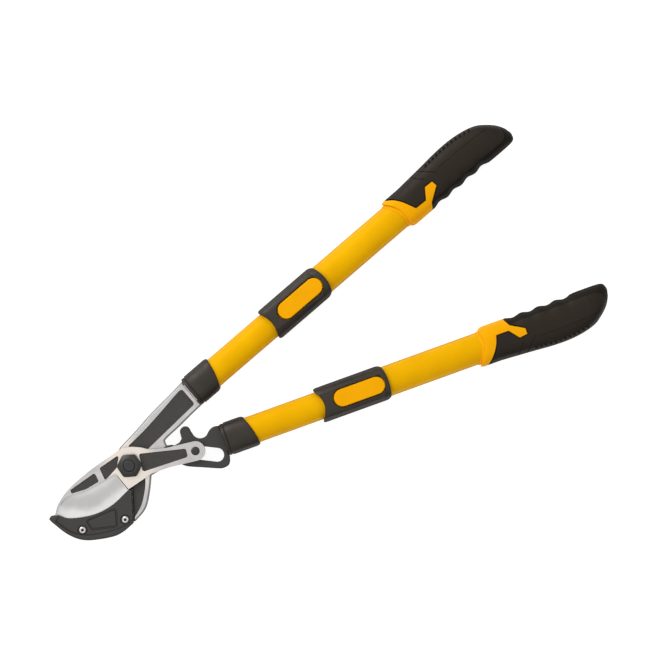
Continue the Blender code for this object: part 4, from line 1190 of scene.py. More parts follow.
@dataclass
class CastAnvil:
    """The cast anvil: raised outer rim, grooved panel and two socket screws in counterbores."""

    palette: Palette
    low: float = 11.8 * MM
    top: float = 22.8 * MM
    floor: float = 20.9 * MM
    over: float = 1.9 * MM
    under: float = 0.8 * MM
    rim: float = 0.4 * MM
    fillet: float = 0.3 * MM
    open_side: float = -6 * FIT
    groove_growth: float = 1.3 * MM
    groove_depth: float = 1.9 * MM
    groove_fillet: float = 0.2 * MM
    moat_ways: Point = (0.25 * MM, 1.5 * MM)
    moat_depth: float = 0.9 * MM
    moat_rise: float = 0.15 * MM
    island_growth: float = -0.9 * MM
    island_foot: float = 2.5 * MM
    island_drop: float = 0.1 * MM
    island_rim: float = 0.7 * MM
    bore: float = 5.8 * MM
    bore_floor: float = 19.2 * MM
    screw_foot: float = 7.3 * MM
    screw_head: float = 2.5 * MM
    socket_flats: float = 3.4 * MM
    socket_depth: float = 1.6 * MM
    screws: tuple[Point, ...] = tuple(mm((-90.2, -21.0), (-44.8, -44.1)))

    @staticmethod
    def edge(gap: float, steps: int = 10) -> list[Point]:
        """The working edge from heel to tip, which follows the blade's at a gap.

        Args:
            gap: The gap.
            steps: Stretches between two of its known points.

        Returns:
            The points of the edge.
        """
        blade = smooth(mm((-19.2, -19.9), (-45.5, -21.0), (-68.8, -15.6), (-91.3, -2.0), (-99.9, 8.8)), steps)
        places = []
        for index, point in enumerate(blade):
            before = Vector(blade[max(0, index - 1)])
            after = Vector(blade[min(len(blade) - 1, index + 1)])
            along = (after - before).normalized()
            places.append(tuple(Vector(point) + Vector((along.y, -along.x)) * -gap))
        return places

    @staticmethod
    def outline() -> list[Point]:
        """The anvil, counter-clockwise.

        Returns:
            The points of the outline.
        """
        hook = mm((-104.2, 13.4), (-107.6, 15.2), (-111.3, 13.9))
        outer = smooth(mm((-111.2, 8.8), (-106.0, -14.6), (-94.8, -32.6), (-71.5, -48.2), (-56.8, -53.2),
                          (-40.4, -53.4)), 6)
        return hook + outer + mm((-38.6, -49.8), (-17.1, -22.7)) + CastAnvil.edge(FIT)

    def tools(self) -> list[Tool]:
        """The floor inside the rim with its moat, the panel in its groove, and counterbores and holes.

        Returns:
            The tools in their order.
        """
        inner = smooth(mm((-107.6, 7.1), (-100.9, -16.0), (-86.7, -32.0), (-62.8, -45.5), (-45.5, -50.8),
                          (-36.0, -51.0)), 6)
        floor = Blank().pocket(inner + mm((-10.0, -22.0)) + self.edge(self.open_side), self.floor, self.top,
                               self.rim, self.fillet)
        panel = rounded(mm((-79.7, -16.4, 2), (-80.8, -28.1, 3.5), (-57.1, -44.1, 2.5), (-45.0, -27.8, 2)))
        # painted shade: the groove and the moat below take finish 1, the darker black oxide
        groove = Blank().pocket(moved_out(panel, self.groove_growth), self.floor - self.groove_depth,
                                self.floor, self.rim, self.groove_fillet, finish=1)
        middle = Vector(mm((-52.0, -2.0))[0])
        near, far = [[tuple(Vector(place) + (middle - Vector(place)).normalized() * way) for place in inner]
                     for way in self.moat_ways]
        moat = Blank().slab(near + far[::-1], self.floor - self.moat_depth, self.floor + self.moat_rise,
                            finish=1)
        island = Blank().slab(moved_out(panel, self.island_growth), self.floor - self.island_foot,
                              self.floor - self.island_drop, self.island_rim)
        bores, holes = Blank(), Blank()
        for place in self.screws:
            bores.pocket(circle(place, self.bore), self.bore_floor, self.floor, self.rim, self.fillet)
            holes.slab(circle(place, LAYOUT.screw_bore, 24), 0.0, self.top)
        return [(floor, Change.CUT), (moat, Change.CUT), (groove, Change.CUT), (island, Change.JOIN),
                (bores, Change.CUT), (holes, Change.CUT)]

    def build(self) -> None:
        """Makes the anvil and its screws."""
        body = Blank().slab(self.outline(), self.low, self.top, self.over, self.under, forged=True)
        # painted shade: finish 1, the darker black oxide, lines the moat and the panel's groove
        anvil = body.make("cast_anvil", self.palette.casting, self.palette.oxide)
        fitted(shaded(carved(anvil, *self.tools())), "root", "black_casting", "anvil")
        for name, place in zip(("front", "rear"), self.screws):
            self.build_screw(name, place)

    def build_screw(self, name: str, place: Point) -> None:
        """Makes one socket screw on its seat.

        Args:
            name: Which of the two it is.
            place: Place of its axis.
        """
        foot, seat = self.screw_foot, self.bore_floor + FIT
        head = seat + self.screw_head
        profile = [(0, foot), (2.2 * MM, foot), (2.5 * MM, foot + 0.3 * MM), (2.5 * MM, seat), (4.2 * MM, seat),
                   (4.4 * MM, seat + 0.2 * MM), (4.4 * MM, seat + 1.0 * MM), (4.2 * MM, seat + 1.6 * MM),
                   (3.8 * MM, seat + 2.1 * MM), (3.3 * MM, head - 0.1 * MM), (2.9 * MM, head), (0, head)]
        screw = Blank().lathe(profile, place).make(f"anvil_bolt_{name}", self.palette.zinc, self.palette.recess)
        outline = arc(place, self.socket_flats / math.sqrt(3), 10, 370, 60)[:-1]
        # painted shade: the socket's wall and floor take the dark recess paint
        socket = Blank().slab(outline, head - self.socket_depth, head + PROUD_CUT, finish=1)
        fitted(shaded(carved(screw, (socket, Change.CUT))), "root", "plated_steel", f"anvil_screw_{name}")


@dataclass
class HollowBlade:
    """The forged blade with its tail: hollow-ground on both sides, with dark recesses."""

    palette: Palette
    low: float = 16.3 * MM
    top: float = 21.3 * MM
    edge_half: float = 0.4 * MM
    rim: float = 1.9 * MM
    rim_profile: float = 0.42
    recess: float = 0.7 * MM
    step: float = 0.16 * MM
    hollow: float = 1.35
    step_share: float = 0.012
    tail_radius: float = 11.4 * MM
    tail_bore: float = 3.3 * MM
    # painted shadow: floor of the dark slot at the heel
    shadow_run_out: float = 18.95 * MM
    cuts: int = 9
    panels: tuple[tuple[Point, ...], ...] = (
        ((-1.6, 17.6, 1.5), (-28.5, 20.4, 2), (-32.7, 5.5, 1.5), (-13.0, 8.0, 2)),
        ((-36.6, 19.9, 2), (-70.6, 23.2, 1.2), (-72.0, 19.2, 1), (-56.2, 12.3, 6), (-39.3, 9.3, 2)),
        ((16.6, 3.4, 2.4), (12.6, -5.4, 0), (6.6, -15.2, 2.8), (57.4, -36.2, 2.5), (61.8, -27.6, 2.5)))

    def back(self) -> list[Point]:
        """The thick part's outer line, from the tail round its end and along the back to the tip.

        Returns:
            The points of the line.
        """
        pin = LAYOUT.tail_pin
        lean = math.degrees(math.atan2(pin[1], pin[0]))
        curve = mm((46.2, -12.6), (29.9, -0.7), (23.1, 7.8), (13.6, 16.7), (4.0, 21.6), (-5.5, 22.5),
                   (-27.2, 25.0), (-44.3, 26.1), (-64.7, 26.0), (-78.9, 24.2), (-92.9, 19.8), (-103.3, 12.8))
        return arc(pin, self.tail_radius, lean - 90, lean + 90) + smooth(curve, 6)

    def side(self, blank: Blank, sign: int) -> tuple[list, list]:
        """Adds one side of the blade.

        Args:
            blank: The work that it is added to.
            sign: 1 for the upper side, -1 for the lower one.

        Returns:
            The corners of its rim along back and edge, and those along the heel.
        """
        bm = blank.bm
        half = (self.top - self.low) / 2
        depth = half - self.edge_half
        face = (self.low + self.top) / 2 + sign * half
        ground = smooth(mm((-18.4, 3.8), (-38.0, 6.7), (-56.5, 10.6), (-66.0, 14.4), (-74.0, 18.0),
                           (-80.5, 20.2), (-88.0, 19.0), (-96.0, 15.4), (-102.6, 12.6)), 5)[::-1]
        cut = smooth(CastAnvil.edge(0.0, 1), 10)[::-1]
        foot = [cut[-1]] + mm((5.1, -22.7), (12.2, -23.2), (33.9, -31.7))
        back, grind, heel = [[bm.verts.new((x, y, face)) for x, y in line]
                             for line in (self.back(), ground, foot)]
        loop = back + grind + heel
        lines = [bm.edges.new(pair) for pair in zip(loop, loop[1:] + loop[:1])]
        bmesh.ops.contextual_create(bm, geom=lines)
        known = set(bm.faces)
        corners, lines = grind, [bm.edges.get(pair) for pair in zip(grind, grind[1:])]
        tip, root = [], [grind[-1]]
        for index in range(self.cuts + 1):
            share = (index / self.cuts) or self.step_share
            fall = self.step + (depth - self.step) * (1 - (1 - share) ** self.hollow)
            places = [(*Vector(start).lerp(Vector(stop), share), face - sign * fall)
                      for start, stop in zip(ground, cut)]
            corners, lines = blank.grown(corners, lines, places)
            tip.append(corners[0])
            root.append(corners[-1])
        for made in set(bm.faces) - known:
            made.material_index = 1
        bm.faces.new(root + [heel[0]])
        return back + grind[:1] + tip[:-1] + corners, heel + back[:1]

    def blank(self) -> Blank:
        """The blade without recesses and holes.

        Returns:
            The work.
        """
        work = Blank()
        bm = work.bm
        (low_rim, low_heel), (high_rim, high_heel) = self.side(work, -1), self.side(work, 1)
        for low, high in ((low_rim, high_rim), (low_heel[1:], high_heel[1:])):
            lines = [bm.edges.get(pair) for row in (low, high) for pair in zip(row, row[1:])]
            rows = [bm.edges.get(pair) or bm.edges.new(pair) for pair in zip(low, high)]
            bmesh.ops.holes_fill(bm, edges=lines + rows, sides=4)
        for corners in ((low_rim[-1], low_heel[0], low_heel[1]), (high_rim[-1], high_heel[1], high_heel[0]),
                        (low_rim[-1], low_heel[1], high_heel[1], high_rim[-1])):
            bm.faces.new(corners)
        bmesh.ops.recalc_face_normals(bm, faces=bm.faces)
        count = len(self.back()) - 2
        rims = [bm.edges.get(pair) for row in (low_rim, high_rim) for pair in zip(row[:count], row[1:count])]
        bmesh.ops.bevel(bm, geom=rims, offset=self.rim, offset_type="OFFSET", segments=5,
                        profile=self.rim_profile, affect="EDGES", clamp_overlap=True, material=-1,
                        loop_slide=True)
        return work

    def build(self) -> None:
        """Makes the blade and puts it on its body."""
        blade = self.blank().make("hollow_blade", self.palette.silver, self.palette.ground, self.palette.recess)
        proud = self.top + PROUD_CUT
        panels = Blank()
        for corners in self.panels:
            panels.pocket(rounded(mm(*corners)), self.top - self.recess, self.top, finish=2)
        # painted shadow: the slot at the heel takes the dark recess paint, for the shadow of the step between
        # hub and ground zone
        shadow_run_out = Blank().slab(mm((-18.3, 1.5), (-19.0, -23.0), (-20.3, -23.0), (-18.9, 1.5)), self.shadow_run_out,
                               proud, finish=2)
        holes = Blank().slab(circle((0, 0), LAYOUT.hub_bore), 0.0, proud)
        holes.slab(circle(LAYOUT.tail_pin, self.tail_bore, 32), 0.0, proud)
        carved(blade, *[(tool, Change.CUT) for tool in (panels, shadow_run_out, holes)])
        fitted(shaded(blade), "blade", "forged_steel", "blade")


@dataclass
class MainPivot:
    """The pivots: black nut and bolt, washers, bush, tail pin with its roller, and the lever's own bolt."""

    palette: Palette
    flats: float = 25.6 * MM
    nut: Point = (22.9 * MM, 29.5 * MM)
    nut_turn: float = 23.5
    nut_chamfer: float = 2.6 * MM
    bolt_radius: float = 6.8 * MM
    bolt_end: float = 29.7 * MM
    head: float = 5.2 * MM
    head_chamfer: float = 1.3 * MM
    lug_nut: Point = (1.8 * MM, 5.4 * MM)
    lug_nut_flats: float = 13.0 * MM
    lug_nut_chamfer: float = 0.9 * MM
    tail_heights: Point = (8.2 * MM, 9.4 * MM, 21.6 * MM, 22.8 * MM)

    def build_nut(self) -> None:
        """Makes the main nut."""
        low, high = self.nut
        bore = Blank().slab(circle((0, 0), self.bolt_radius + FIT / 2), 0.0, high + PROUD_CUT)
        nut = Hexagon((0, 0), self.flats, low, high, self.nut_turn, self.nut_chamfer)
        fitted(nut.piece("main_nut", self.palette.oxide, (bore, Change.CUT)), "root", "black_steel",
               "pivot_nut")

    def build_bolt(self) -> None:
        """Makes the main bolt: hexagon head behind, domed end in front."""
        radius, end, foot = self.bolt_radius, self.bolt_end, self.head / 2
        shank = Blank().lathe([(0, foot), (radius, foot), (radius, end - 1.0 * MM),
                               (radius - 0.25 * MM, end - 0.5 * MM), (radius - 0.8 * MM, end - 0.15 * MM),
                               (radius - 1.5 * MM, end), (0, end)])
        head = Hexagon((0, 0), self.flats, 0.0, self.head, 0.0, self.head_chamfer, both=True)
        fitted(head.piece("main_bolt", self.palette.oxide, (shank, Change.JOIN)), "root", "black_steel",
               "pivot_bolt")

    def build_tail_pin(self) -> None:
        """Makes the riveted pin in the blade's tail, with a domed head on both ends."""
        foot, neck_low, neck_high, top = self.tail_heights
        profile = [(0, foot), (3.2 * MM, foot + 0.1 * MM), (4.4 * MM, foot + 0.45 * MM),
                   (5 * MM, neck_low - 0.2 * MM), (5 * MM, neck_low), (3 * MM, neck_low), (3 * MM, neck_high),
                   (5 * MM, neck_high), (5 * MM, neck_high + 0.2 * MM), (4.4 * MM, top - 0.45 * MM),
                   (3.2 * MM, top - 0.1 * MM), (0, top)]
        pin = Blank().lathe(profile, LAYOUT.tail_pin).make("tail_rivet", self.palette.oxide)
        fitted(shaded(pin), "blade", "black_steel", "tail_pin")

    def build_lever_nut(self) -> None:
        """Makes the nut behind the lug."""
        low, high = self.lug_nut
        bore = Blank().slab(circle(LAYOUT.lever_pivot, LAYOUT.lever_bore), 0.0, high + PROUD_CUT)
        nut = Hexagon(LAYOUT.lever_pivot, self.lug_nut_flats, low, high, 0.0, self.lug_nut_chamfer, both=True)
        fitted(nut.piece("lug_nut", self.palette.zinc, (bore, Change.CUT)), "root", "plated_steel",
               "lever_nut")

    def build(self) -> None:
        """Makes the turned pieces and dresses the small ones that stay."""
        self.build_nut()
        self.build_bolt()
        self.build_tail_pin()
        self.build_lever_nut()
        dressed(self.palette.bronze, "pivot_bush", "friction_washer")
        dressed(self.palette.zinc, "pivot_rear_washer", "pivot_front_washer", "lever_bolt", "lever_washer",
                "slot_roller", "tail_pin_washer")


@dataclass
class LeverPlate:
    """The black slotted plate that drives the blade's tail, with its stop knob and tang."""

    palette: Palette
    turn: float = -20.85
    low: float = 11.5 * MM
    top: float = 16.0 * MM
    over: float = 1.5 * MM
    under: float = 0.9 * MM
    boss_radius: float = 11.0 * MM
    scallop_radius: float = 9.6 * MM
    knob_radius: float = 6.1 * MM
    slot_radius: float = 8.0 * MM
    slot_rims: Point = (1.0 * MM, 0.4 * MM)
    slot_growth: float = 0.5 * MM
    end_spread: Point = (-19.9 * MM, 17.6 * MM)
    well_radius: float = 6.7 * MM
    cone: Point = (13.2 * MM, 15.4 * MM)

    def matrix(self) -> Matrix:
        """From the lever's own frame to the row frame."""
        return (Matrix.Translation((*LAYOUT.lever_pivot, 0.0))
                @ Matrix.Rotation(math.radians(self.turn), 4, "Z"))

    def outline(self) -> list[Point]:
        """The plate in its own frame, counter-clockwise.

        Returns:
            The points of the outline.
        """
        boss = arc((0, 0), self.boss_radius, 50, 235)
        lower = smooth(mm((7.0, -14.3), (13.8, -19.7), (31.1, -27.3), (45.4, -33.6), (51.6, -35.4),
                          (58.5, -34.4), (61.8, -30.6)), 5)
        x, y = LAYOUT.starts[Side.B]
        end = [(x - FIT, y + across) for across in self.end_spread]
        shoulder = smooth(mm((62.0, 12.9), (58.0, 13.6), (54.4, 13.1), (51.0, 11.6)), 4)
        scallop, knob = mm((41.0, 15.3), (24.3, 19.4))
        return (boss + lower + end + shoulder + arc(scallop, self.scallop_radius, 320, 196)
                + arc(knob, self.knob_radius, -8, 178) + mm((17.6, 13.0), (13.7, 9.9)))

    def slot(self) -> list[Point]:
        """The slot, from under the tail pin towards the handle.

        Returns:
            The points of its outline.
        """
        pin = Vector(LAYOUT.tail_pin) - Vector(LAYOUT.lever_pivot)
        pin.rotate(Matrix.Rotation(math.radians(-self.turn), 2))
        near, far = [pin + Vector(offset) for offset in mm((-1.9, -1.2), (21.8, -13.0))]
        lean = math.degrees(math.atan2(far.y - near.y, far.x - near.x))
        return (arc(far, self.slot_radius, lean - 90, lean + 90)
                + arc(near, self.slot_radius, lean + 90, lean + 270))

    def build(self) -> None:
        """Makes the plate and puts it on the lever."""
        body = Blank().slab(self.outline(), self.low, self.top, self.over, self.under, forged=True)
        tongue = tang(LAYOUT.starts[Side.B], self.top)
        over, under = self.slot_rims
        slot = Blank().pocket(self.slot(), 0.0, self.top, over, 0.0)
        slot_under = Blank().slab(moved_out(self.slot(), self.slot_growth), 0.0, self.low + under, under)
        bore, wide, deep = LAYOUT.lever_bore, self.well_radius, 2 * self.top
        well = Blank().lathe([(0, 0), (bore, 0), (bore, self.cone[0]), (wide, self.cone[1]), (wide, deep),
                              (0, deep)])
        for tool in (body, tongue, slot, slot_under, well):
            tool.placed(self.matrix())
        plate = body.make("slotted_lever", self.palette.casting)
        carved(plate, (tongue, Change.JOIN), *[(tool, Change.CUT) for tool in (slot, slot_under, well)])
        fitted(shaded(plate), "lever", "black_casting", "lever_plate")


@dataclass
class Handle:
    """One telescopic handle: collar, two tubes, lock sleeve with its button, and the grip."""

    palette: Palette
    side: Side
    axis: float = 16.0 * MM
    wall: float = 1.2 * MM
    tube_rim: float = 0.3 * MM
    tube_run: float = 60 * MM
    inner_half: Point = (16.5 * MM, 11.5 * MM)
    inner_span: Point = (2.8 * MM, 432.5 * MM)
    outer_half: Point = (18.0 * MM, 13.0 * MM)
    outer_span: Point = (128.5 * MM, 440.0 * MM)
    collar_half: Point = (19.5 * MM, 14.2 * MM)
    collar_corner: float = 3.2 * MM
    collar_end: Point = (33.5 * MM, 5 * MM, 2.5 * MM)
    collar_power: float = 2.4
    bore_ends: Point = (2.5 * MM, 0.15 * MM)
    front_draw: float = 1.95 * MM
    front_span: Point = (0.02 * MM, 2.8 * MM)
    mouth_span: Point = (-5 * MM, 20 * MM)
    sleeve_half: float = 20.8 * MM
    sleeve_top: float = 18.5 * MM
    sleeve_bottom: float = 15.6 * MM
    sleeve_step: float = 128.2 * MM
    sleeve_spans: dict[Side, Point] = field(default_factory=lambda: {
        Side.A: (116.4 * MM, 198.7 * MM), Side.B: (113.5 * MM, 199.2 * MM)})
    sleeve_bulges: dict[Side, Point] = field(default_factory=lambda: {
        Side.A: (7.0 * MM, 5.2 * MM), Side.B: (9.9 * MM, 3.2 * MM)})
    sleeve_corners: dict[tuple[int, bool], float] = field(default_factory=lambda: {
        (-1, True): 4.5 * MM, (-1, False): 5.0 * MM, (1, True): 5.0 * MM, (1, False): 6.0 * MM})
    sleeve_rims: tuple[Point, ...] = tuple(mm((0.0, 1.5), (0.2, 0.8), (0.7, 0.25), (1.5, 0.0)))
    raised_form: Point = (0.5 * MM, 3.8, 0.5 * MM)
    plain_form: Point = (-0.7 * MM, 2.8)
    land: tuple[Point, ...] = tuple(mm((-9, 16.2, 0), (-9, -10.6, 0), (-3.0, -14.8, 9), (-3.0, 16.2, 9)))
    land_growth: tuple[Point, ...] = tuple(mm((2.6, 10), (-1.6, 20)))
    well_gap: float = 1.3 * MM
    well_floor: float = 6.5 * MM
    well_rise: float = 0.1 * MM
    well_rim: float = 0.7 * MM
    boss: Point = (10.35 * MM, 11.9 * MM, 2.4 * MM)
    boss_foot: float = 12.6 * MM
    boss_rise: float = 2.0 * MM
    hinge: Point = (166.5 * MM, 15.2 * MM)
    hinge_bore: float = 1.55 * MM
    hinge_reach: float = 13.3 * MM
    pad: Point = (61.0 * MM, 20.0 * MM)
    pad_proud: float = 1.2 * MM
    pad_thick: float = 2.6 * MM
    pad_rims: Point = (0.9 * MM, 0.2 * MM)
    foot_half: Point = (2.45 * MM, 6 * MM)
    foot_drop: float = 0.62 * MM
    foot_reach: float = 10 * MM
    spring_room: Point = (12.4 * MM, 28.6 * MM, 3.6 * MM)
    spring_roof: float = 0.65 * MM
    lock_bore: float = 3.6 * MM
    lock_pin_bore: float = 3.3 * MM
    lock_pin_offset: float = 21 * MM
    lock_pin_roof: float = 1.3 * MM
    lock_holes: tuple[float, ...] = tuple(145.5 * MM + 65 * MM * index for index in range(5))

    @property
    def letter(self) -> str:
        """The handle's letter in the names of nodes and pieces."""
        return self.side.name.lower()

    @property
    def slide(self) -> str:
        """The body that the outer tube rides on."""
        return f"slide_{self.letter}"

    @property
    def base(self) -> str:
        """The body that the inner tube rides on."""
        return "root" if self.side is Side.A else "lever"

    def matrix(self) -> Matrix:
        """From the handle's own frame to the row frame.

        Returns:
            The matrix.
        """
        move = (Matrix.Translation((*LAYOUT.starts[self.side], self.axis))
                @ Matrix.Diagonal((1, self.side.value, 1, 1)))
        return move if self.side is Side.A else LeverPlate(self.palette).matrix() @ move

    def ring(self, shape: Sequence[Point], station: Station) -> list[Point]:
        """One ring of a loft: a cross-section at a station, or at a rule of the place across."""
        return [(station(w) if callable(station) else station, w, z) for w, z in shape]

    def bar(self, half: Point, start: Station, end: Station, power: float = 2.0) -> Blank:
        """A plain oval bar along the handle, from its half width and half height."""
        return Blank().loft([self.ring(oval(*half, half[1], power, power), station)
                             for station in (start, end)])

    def shell(self, profile: Sequence[tuple[Station, float]], half: Point, bore: Point,
              ends: tuple[Station, Station], power: float = 2.0) -> Blank:
        """A hollow bar: an outer skin by stations and how far it is drawn in, and a plain bore.

        Args:
            profile: Stations of the outer skin, from one end to the other, with how far it is drawn in.
            half: Half width and half height.
            bore: Half width and half height of the bore.
            ends: Where the bore starts and ends.
            power: Squareness of the outer skin.

        Returns:
            The work.
        """
        rings = [self.ring(oval(half[0] - inward, half[1] - inward, half[1] - inward, power, power), station)
                 for station, inward in profile]
        hole = oval(*bore, bore[1])
        return Blank().loft(rings + [self.ring(hole, ends[1]), self.ring(hole, ends[0])], closed=True)

    def hinge_hole(self, reach: float) -> Blank:
        """The hole of the hinge pin.

        Args:
            reach: How far it reaches to both sides.

        Returns:
            The cutter.
        """
        middle, height = self.hinge
        hole = Blank().lathe([(0, -reach), (self.hinge_bore, -reach), (self.hinge_bore, reach), (0, reach)],
                             count=24)
        return hole.placed(Matrix.Translation((middle, 0, height)) @ Matrix.Rotation(math.pi / 2, 4, "X"))

    def install(self, work: Blank, name: str, body: str, slot: str, finishes: Sequence[Material],
                node: str, *tools: Tool) -> None:
        """Puts a piece made in the handle's frame in its place.

        Args:
            work: The piece under construction.
            name: Its name without the handle's letter.
            body: The body that it rides on.
            slot: The record's slot.
            finishes: Its finishes, in the order of their numbers.
            node: The node that it stands for, without its letter.
            tools: Tools in the handle's frame, and what each does.
        """
        made = shaded(carved(work.make(f"{name}_{self.letter}", *finishes), *tools))
        made.data.transform(self.matrix())
        if self.side is Side.B:
            made.data.flip_normals()
        fitted(made, body, slot, f"{node}_{self.letter}")

    def dress(self, finish: Material, *nodes: str) -> None:
        """Gives nodes that stay their finish, by their names without the letter."""
        dressed(finish, *[f"{node}_{self.letter}" for node in nodes])

    def build_collar(self) -> None:
        """Makes the collar: a lip and groove at the head end, a slanted rounded rear end."""
        half, height = self.collar_half
        middle, lean, bulge = self.collar_end

        def rear(back: float) -> Callable[[float], float]:
            """Where the rear end lies, as a rule of the place across.

            Args:
                back: How far inside the end the line runs.

            Returns:
                The rule.
            """
            def rule(across: float) -> float:
                """Where the rear end lies."""
                share, drop = across / half, corner_drop(across, half, self.collar_corner)
                return middle + lean * share + bulge * (1 - share ** 2) - drop - back
            return rule

        lip = mm((0.0, 1.9), (0.15, 1.2), (0.7, 0.75), (3.3, 0.6), (3.7, 0.9), (3.9, 1.25), (4.4, 1.25),
                 (4.6, 0.7), (5.1, 0.2), (5.9, 0.0), (15, 0.0))
        edge = mm((6, 0.0), (1.5, 0.0), (0.7, 0.2), (0.2, 0.7), (0.0, 1.4))
        bore = (self.inner_half[0] + FIT, self.inner_half[1] + FIT)
        work = self.shell(lip + [(rear(back), inward) for back, inward in edge], self.collar_half, bore,
                          (self.bore_ends[0], rear(self.bore_ends[1])), self.collar_power)
        front = self.bar((half - self.front_draw, height - self.front_draw), *self.front_span,
                         self.collar_power)
        reach, rise = LAYOUT.tang[1] + FIT, LAYOUT.tang[2] + FIT
        mouth = Blank().slab(oblong(*self.mouth_span, -reach, reach), -rise, rise)
        self.install(work, "tube_collar", self.base, "black_plastic", [self.palette.plastic], "collar",
                     (front, Change.JOIN), (mouth, Change.CUT))

    def build_tubes(self) -> None:
        """Makes both oval tubes with their lock holes, and dresses what is inside."""
        rim, run = self.tube_rim, self.tube_run
        for name, node, half, (start, end), holes, body in (
                ("slim_tube", "inner_tube", self.inner_half, self.inner_span, self.lock_holes, self.base),
                ("wide_tube", "outer_tube", self.outer_half, self.outer_span, self.lock_holes[:1], self.slide)):
            profile = [(start, rim), (start + rim, 0.0), (start + run, 0.0), (end - run, 0.0), (end - rim, 0.0),
                       (end, rim)]
            drill = Blank()
            for station in holes:
                drill.slab(circle((station, 0), self.lock_bore, 32), 0.0, half[1] + PROUD_CUT)
            tube = self.shell(profile, half, (half[0] - self.wall, half[1] - self.wall), (start, end))
            self.install(tube, name, body, "yellow_tube", [self.palette.tube], node, (drill, Change.CUT))
        self.dress(self.palette.zinc, "tang_pin")
        self.dress(self.palette.plastic, "tube_plug")

    def stadium(self, growth: float) -> list[Point]:
        """The button's outline.

        Args:
            growth: How far it is grown.

        Returns:
            The points of the outline.
        """
        radius = self.pad[1] / 2 + growth
        reach = (self.pad[0] - self.pad[1]) / 2
        middle = self.hinge[0]
        return arc((middle + reach, 0), radius, -90, 90) + arc((middle - reach, 0), radius, 90, 270)

    def sleeve_end(self, base: float, sign: int, back: float = 0.0) -> Callable[[float], float]:
        """Where an end of the sleeve lies, as a rule of the place across.

        Args:
            base: The end's station at the sides.
            sign: 1 for the tail end, -1 for the head end.
            back: How far inside the end the line runs.

        Returns:
            The rule.
        """
        bulge = self.sleeve_bulges[self.side][0 if sign < 0 else 1]

        def rule(across: float) -> float:
            """The place along the handle."""
            drop = corner_drop(across, self.sleeve_half, self.sleeve_corners[(sign, across > 0)])
            return base + bulge * (1 - (across / self.sleeve_half) ** 2) - sign * (drop + back)
        return rule

    def sleeve_form(self, grown: float, power: float, apart: float = 0.0) -> Blank:
        """The sleeve's shell.

        Args:
            grown: How far its outside stands off the plain form.
            power: Squareness of its upper half.
            apart: How far its bore and its ends keep off those of the plain form.

        Returns:
            The work.
        """
        bore, lip = [(size[0] + FIT + apart, size[1] + FIT + apart)
                     for size in (self.outer_half, self.inner_half)]
        low, high = self.sleeve_spans[self.side]
        head = [(self.sleeve_end(low + apart, -1, back), inward) for back, inward in self.sleeve_rims]
        tail = [(self.sleeve_end(high - apart, 1, back), inward) for back, inward in self.sleeve_rims]
        first, last = head[-1][0], tail[-1][0]
        body = [((lambda across, share=index / 12: (1 - share) * first(across) + share * last(across)), 0.0)
                for index in range(1, 12)]
        shape = (self.sleeve_half, self.sleeve_top + grown, self.sleeve_bottom)
        rings = [self.ring(oval(*[size - inward for size in shape], power, 2.6, 96), station)
                 for station, inward in head + body + tail[::-1]]
        step = self.sleeve_step
        for hole, station in ((bore, tail[0][0]), (bore, step), (lip, step), (lip, head[0][0])):
            rings.append(self.ring(oval(*hole, hole[1], count=96), station))
        return Blank().loft(rings, closed=True)

    def build_sleeve(self) -> None:
        """Makes the lock sleeve: curved ends, a raised land round the button's well, and bosses for its pin."""
        low, high = self.sleeve_spans[self.side]
        middle, height = self.hinge
        outline = rounded([(end + beyond, across, radius)
                           for end, (beyond, across, radius) in zip((low, low, high, high), self.land)])
        land = Blank().loft([[(x, y, level) for x, y in moved_out(outline, growth)]
                             for growth, level in self.land_growth])
        well = Blank().pocket(self.stadium(self.well_gap), self.well_floor, self.sleeve_top + self.well_rise,
                              self.well_rim, 0.0)
        bosses = Blank()
        near, far, half = self.boss
        for inner, outer in ((-far, -near), (near, far)):
            bosses.slab(oblong(middle - half, middle + half, inner, outer), self.boss_foot,
                        height + self.boss_rise)
        self.install(self.sleeve_form(*self.raised_form), "catch_sleeve", self.slide, "black_plastic",
                     [self.palette.plastic], "lock_sleeve", (land, Change.KEEP),
                     (self.sleeve_form(*self.plain_form), Change.JOIN), (well, Change.CUT),
                     (bosses, Change.JOIN), (self.hinge_hole(self.hinge_reach), Change.CUT))
        self.dress(self.palette.oxide, "button_hinge_pin")
        self.dress(self.palette.zinc, "button_spring")

    def build_button(self) -> None:
        """Makes the rocking pad with its foot, hollow where the lock pin and the spring stand."""
        middle, height = self.hinge
        top = self.sleeve_top + self.pad_proud
        under = top - self.pad_thick
        work = Blank().slab(self.stadium(0.0), under, top, *self.pad_rims)
        half, reach = self.foot_half
        foot = Blank().slab(oblong(middle - half, middle + half, -reach, reach), height - self.foot_drop,
                            under + FIT)
        socket = Blank().slab(circle((middle - self.lock_pin_offset, 0), self.lock_pin_bore, 32), 0.0,
                              top - self.lock_pin_roof)
        start, end, reach = self.spring_room
        room = Blank().slab(oblong(middle + start, middle + end, -reach, reach), 0.0, top - self.spring_roof)
        self.install(work, "rocker_pad", f"button_{self.letter}", "yellow_plastic", [self.palette.amber],
                     "lock_button", (foot, Change.JOIN), (self.hinge_hole(self.foot_reach), Change.CUT),
                     (socket, Change.CUT), (room, Change.CUT))
        self.dress(self.palette.zinc, "lock_pin")

    def build(self) -> None:
        """Makes the handle from head to grip."""
        self.build_collar()
        self.build_tubes()
        self.build_sleeve()
        self.build_button()
        Grip(self).build()


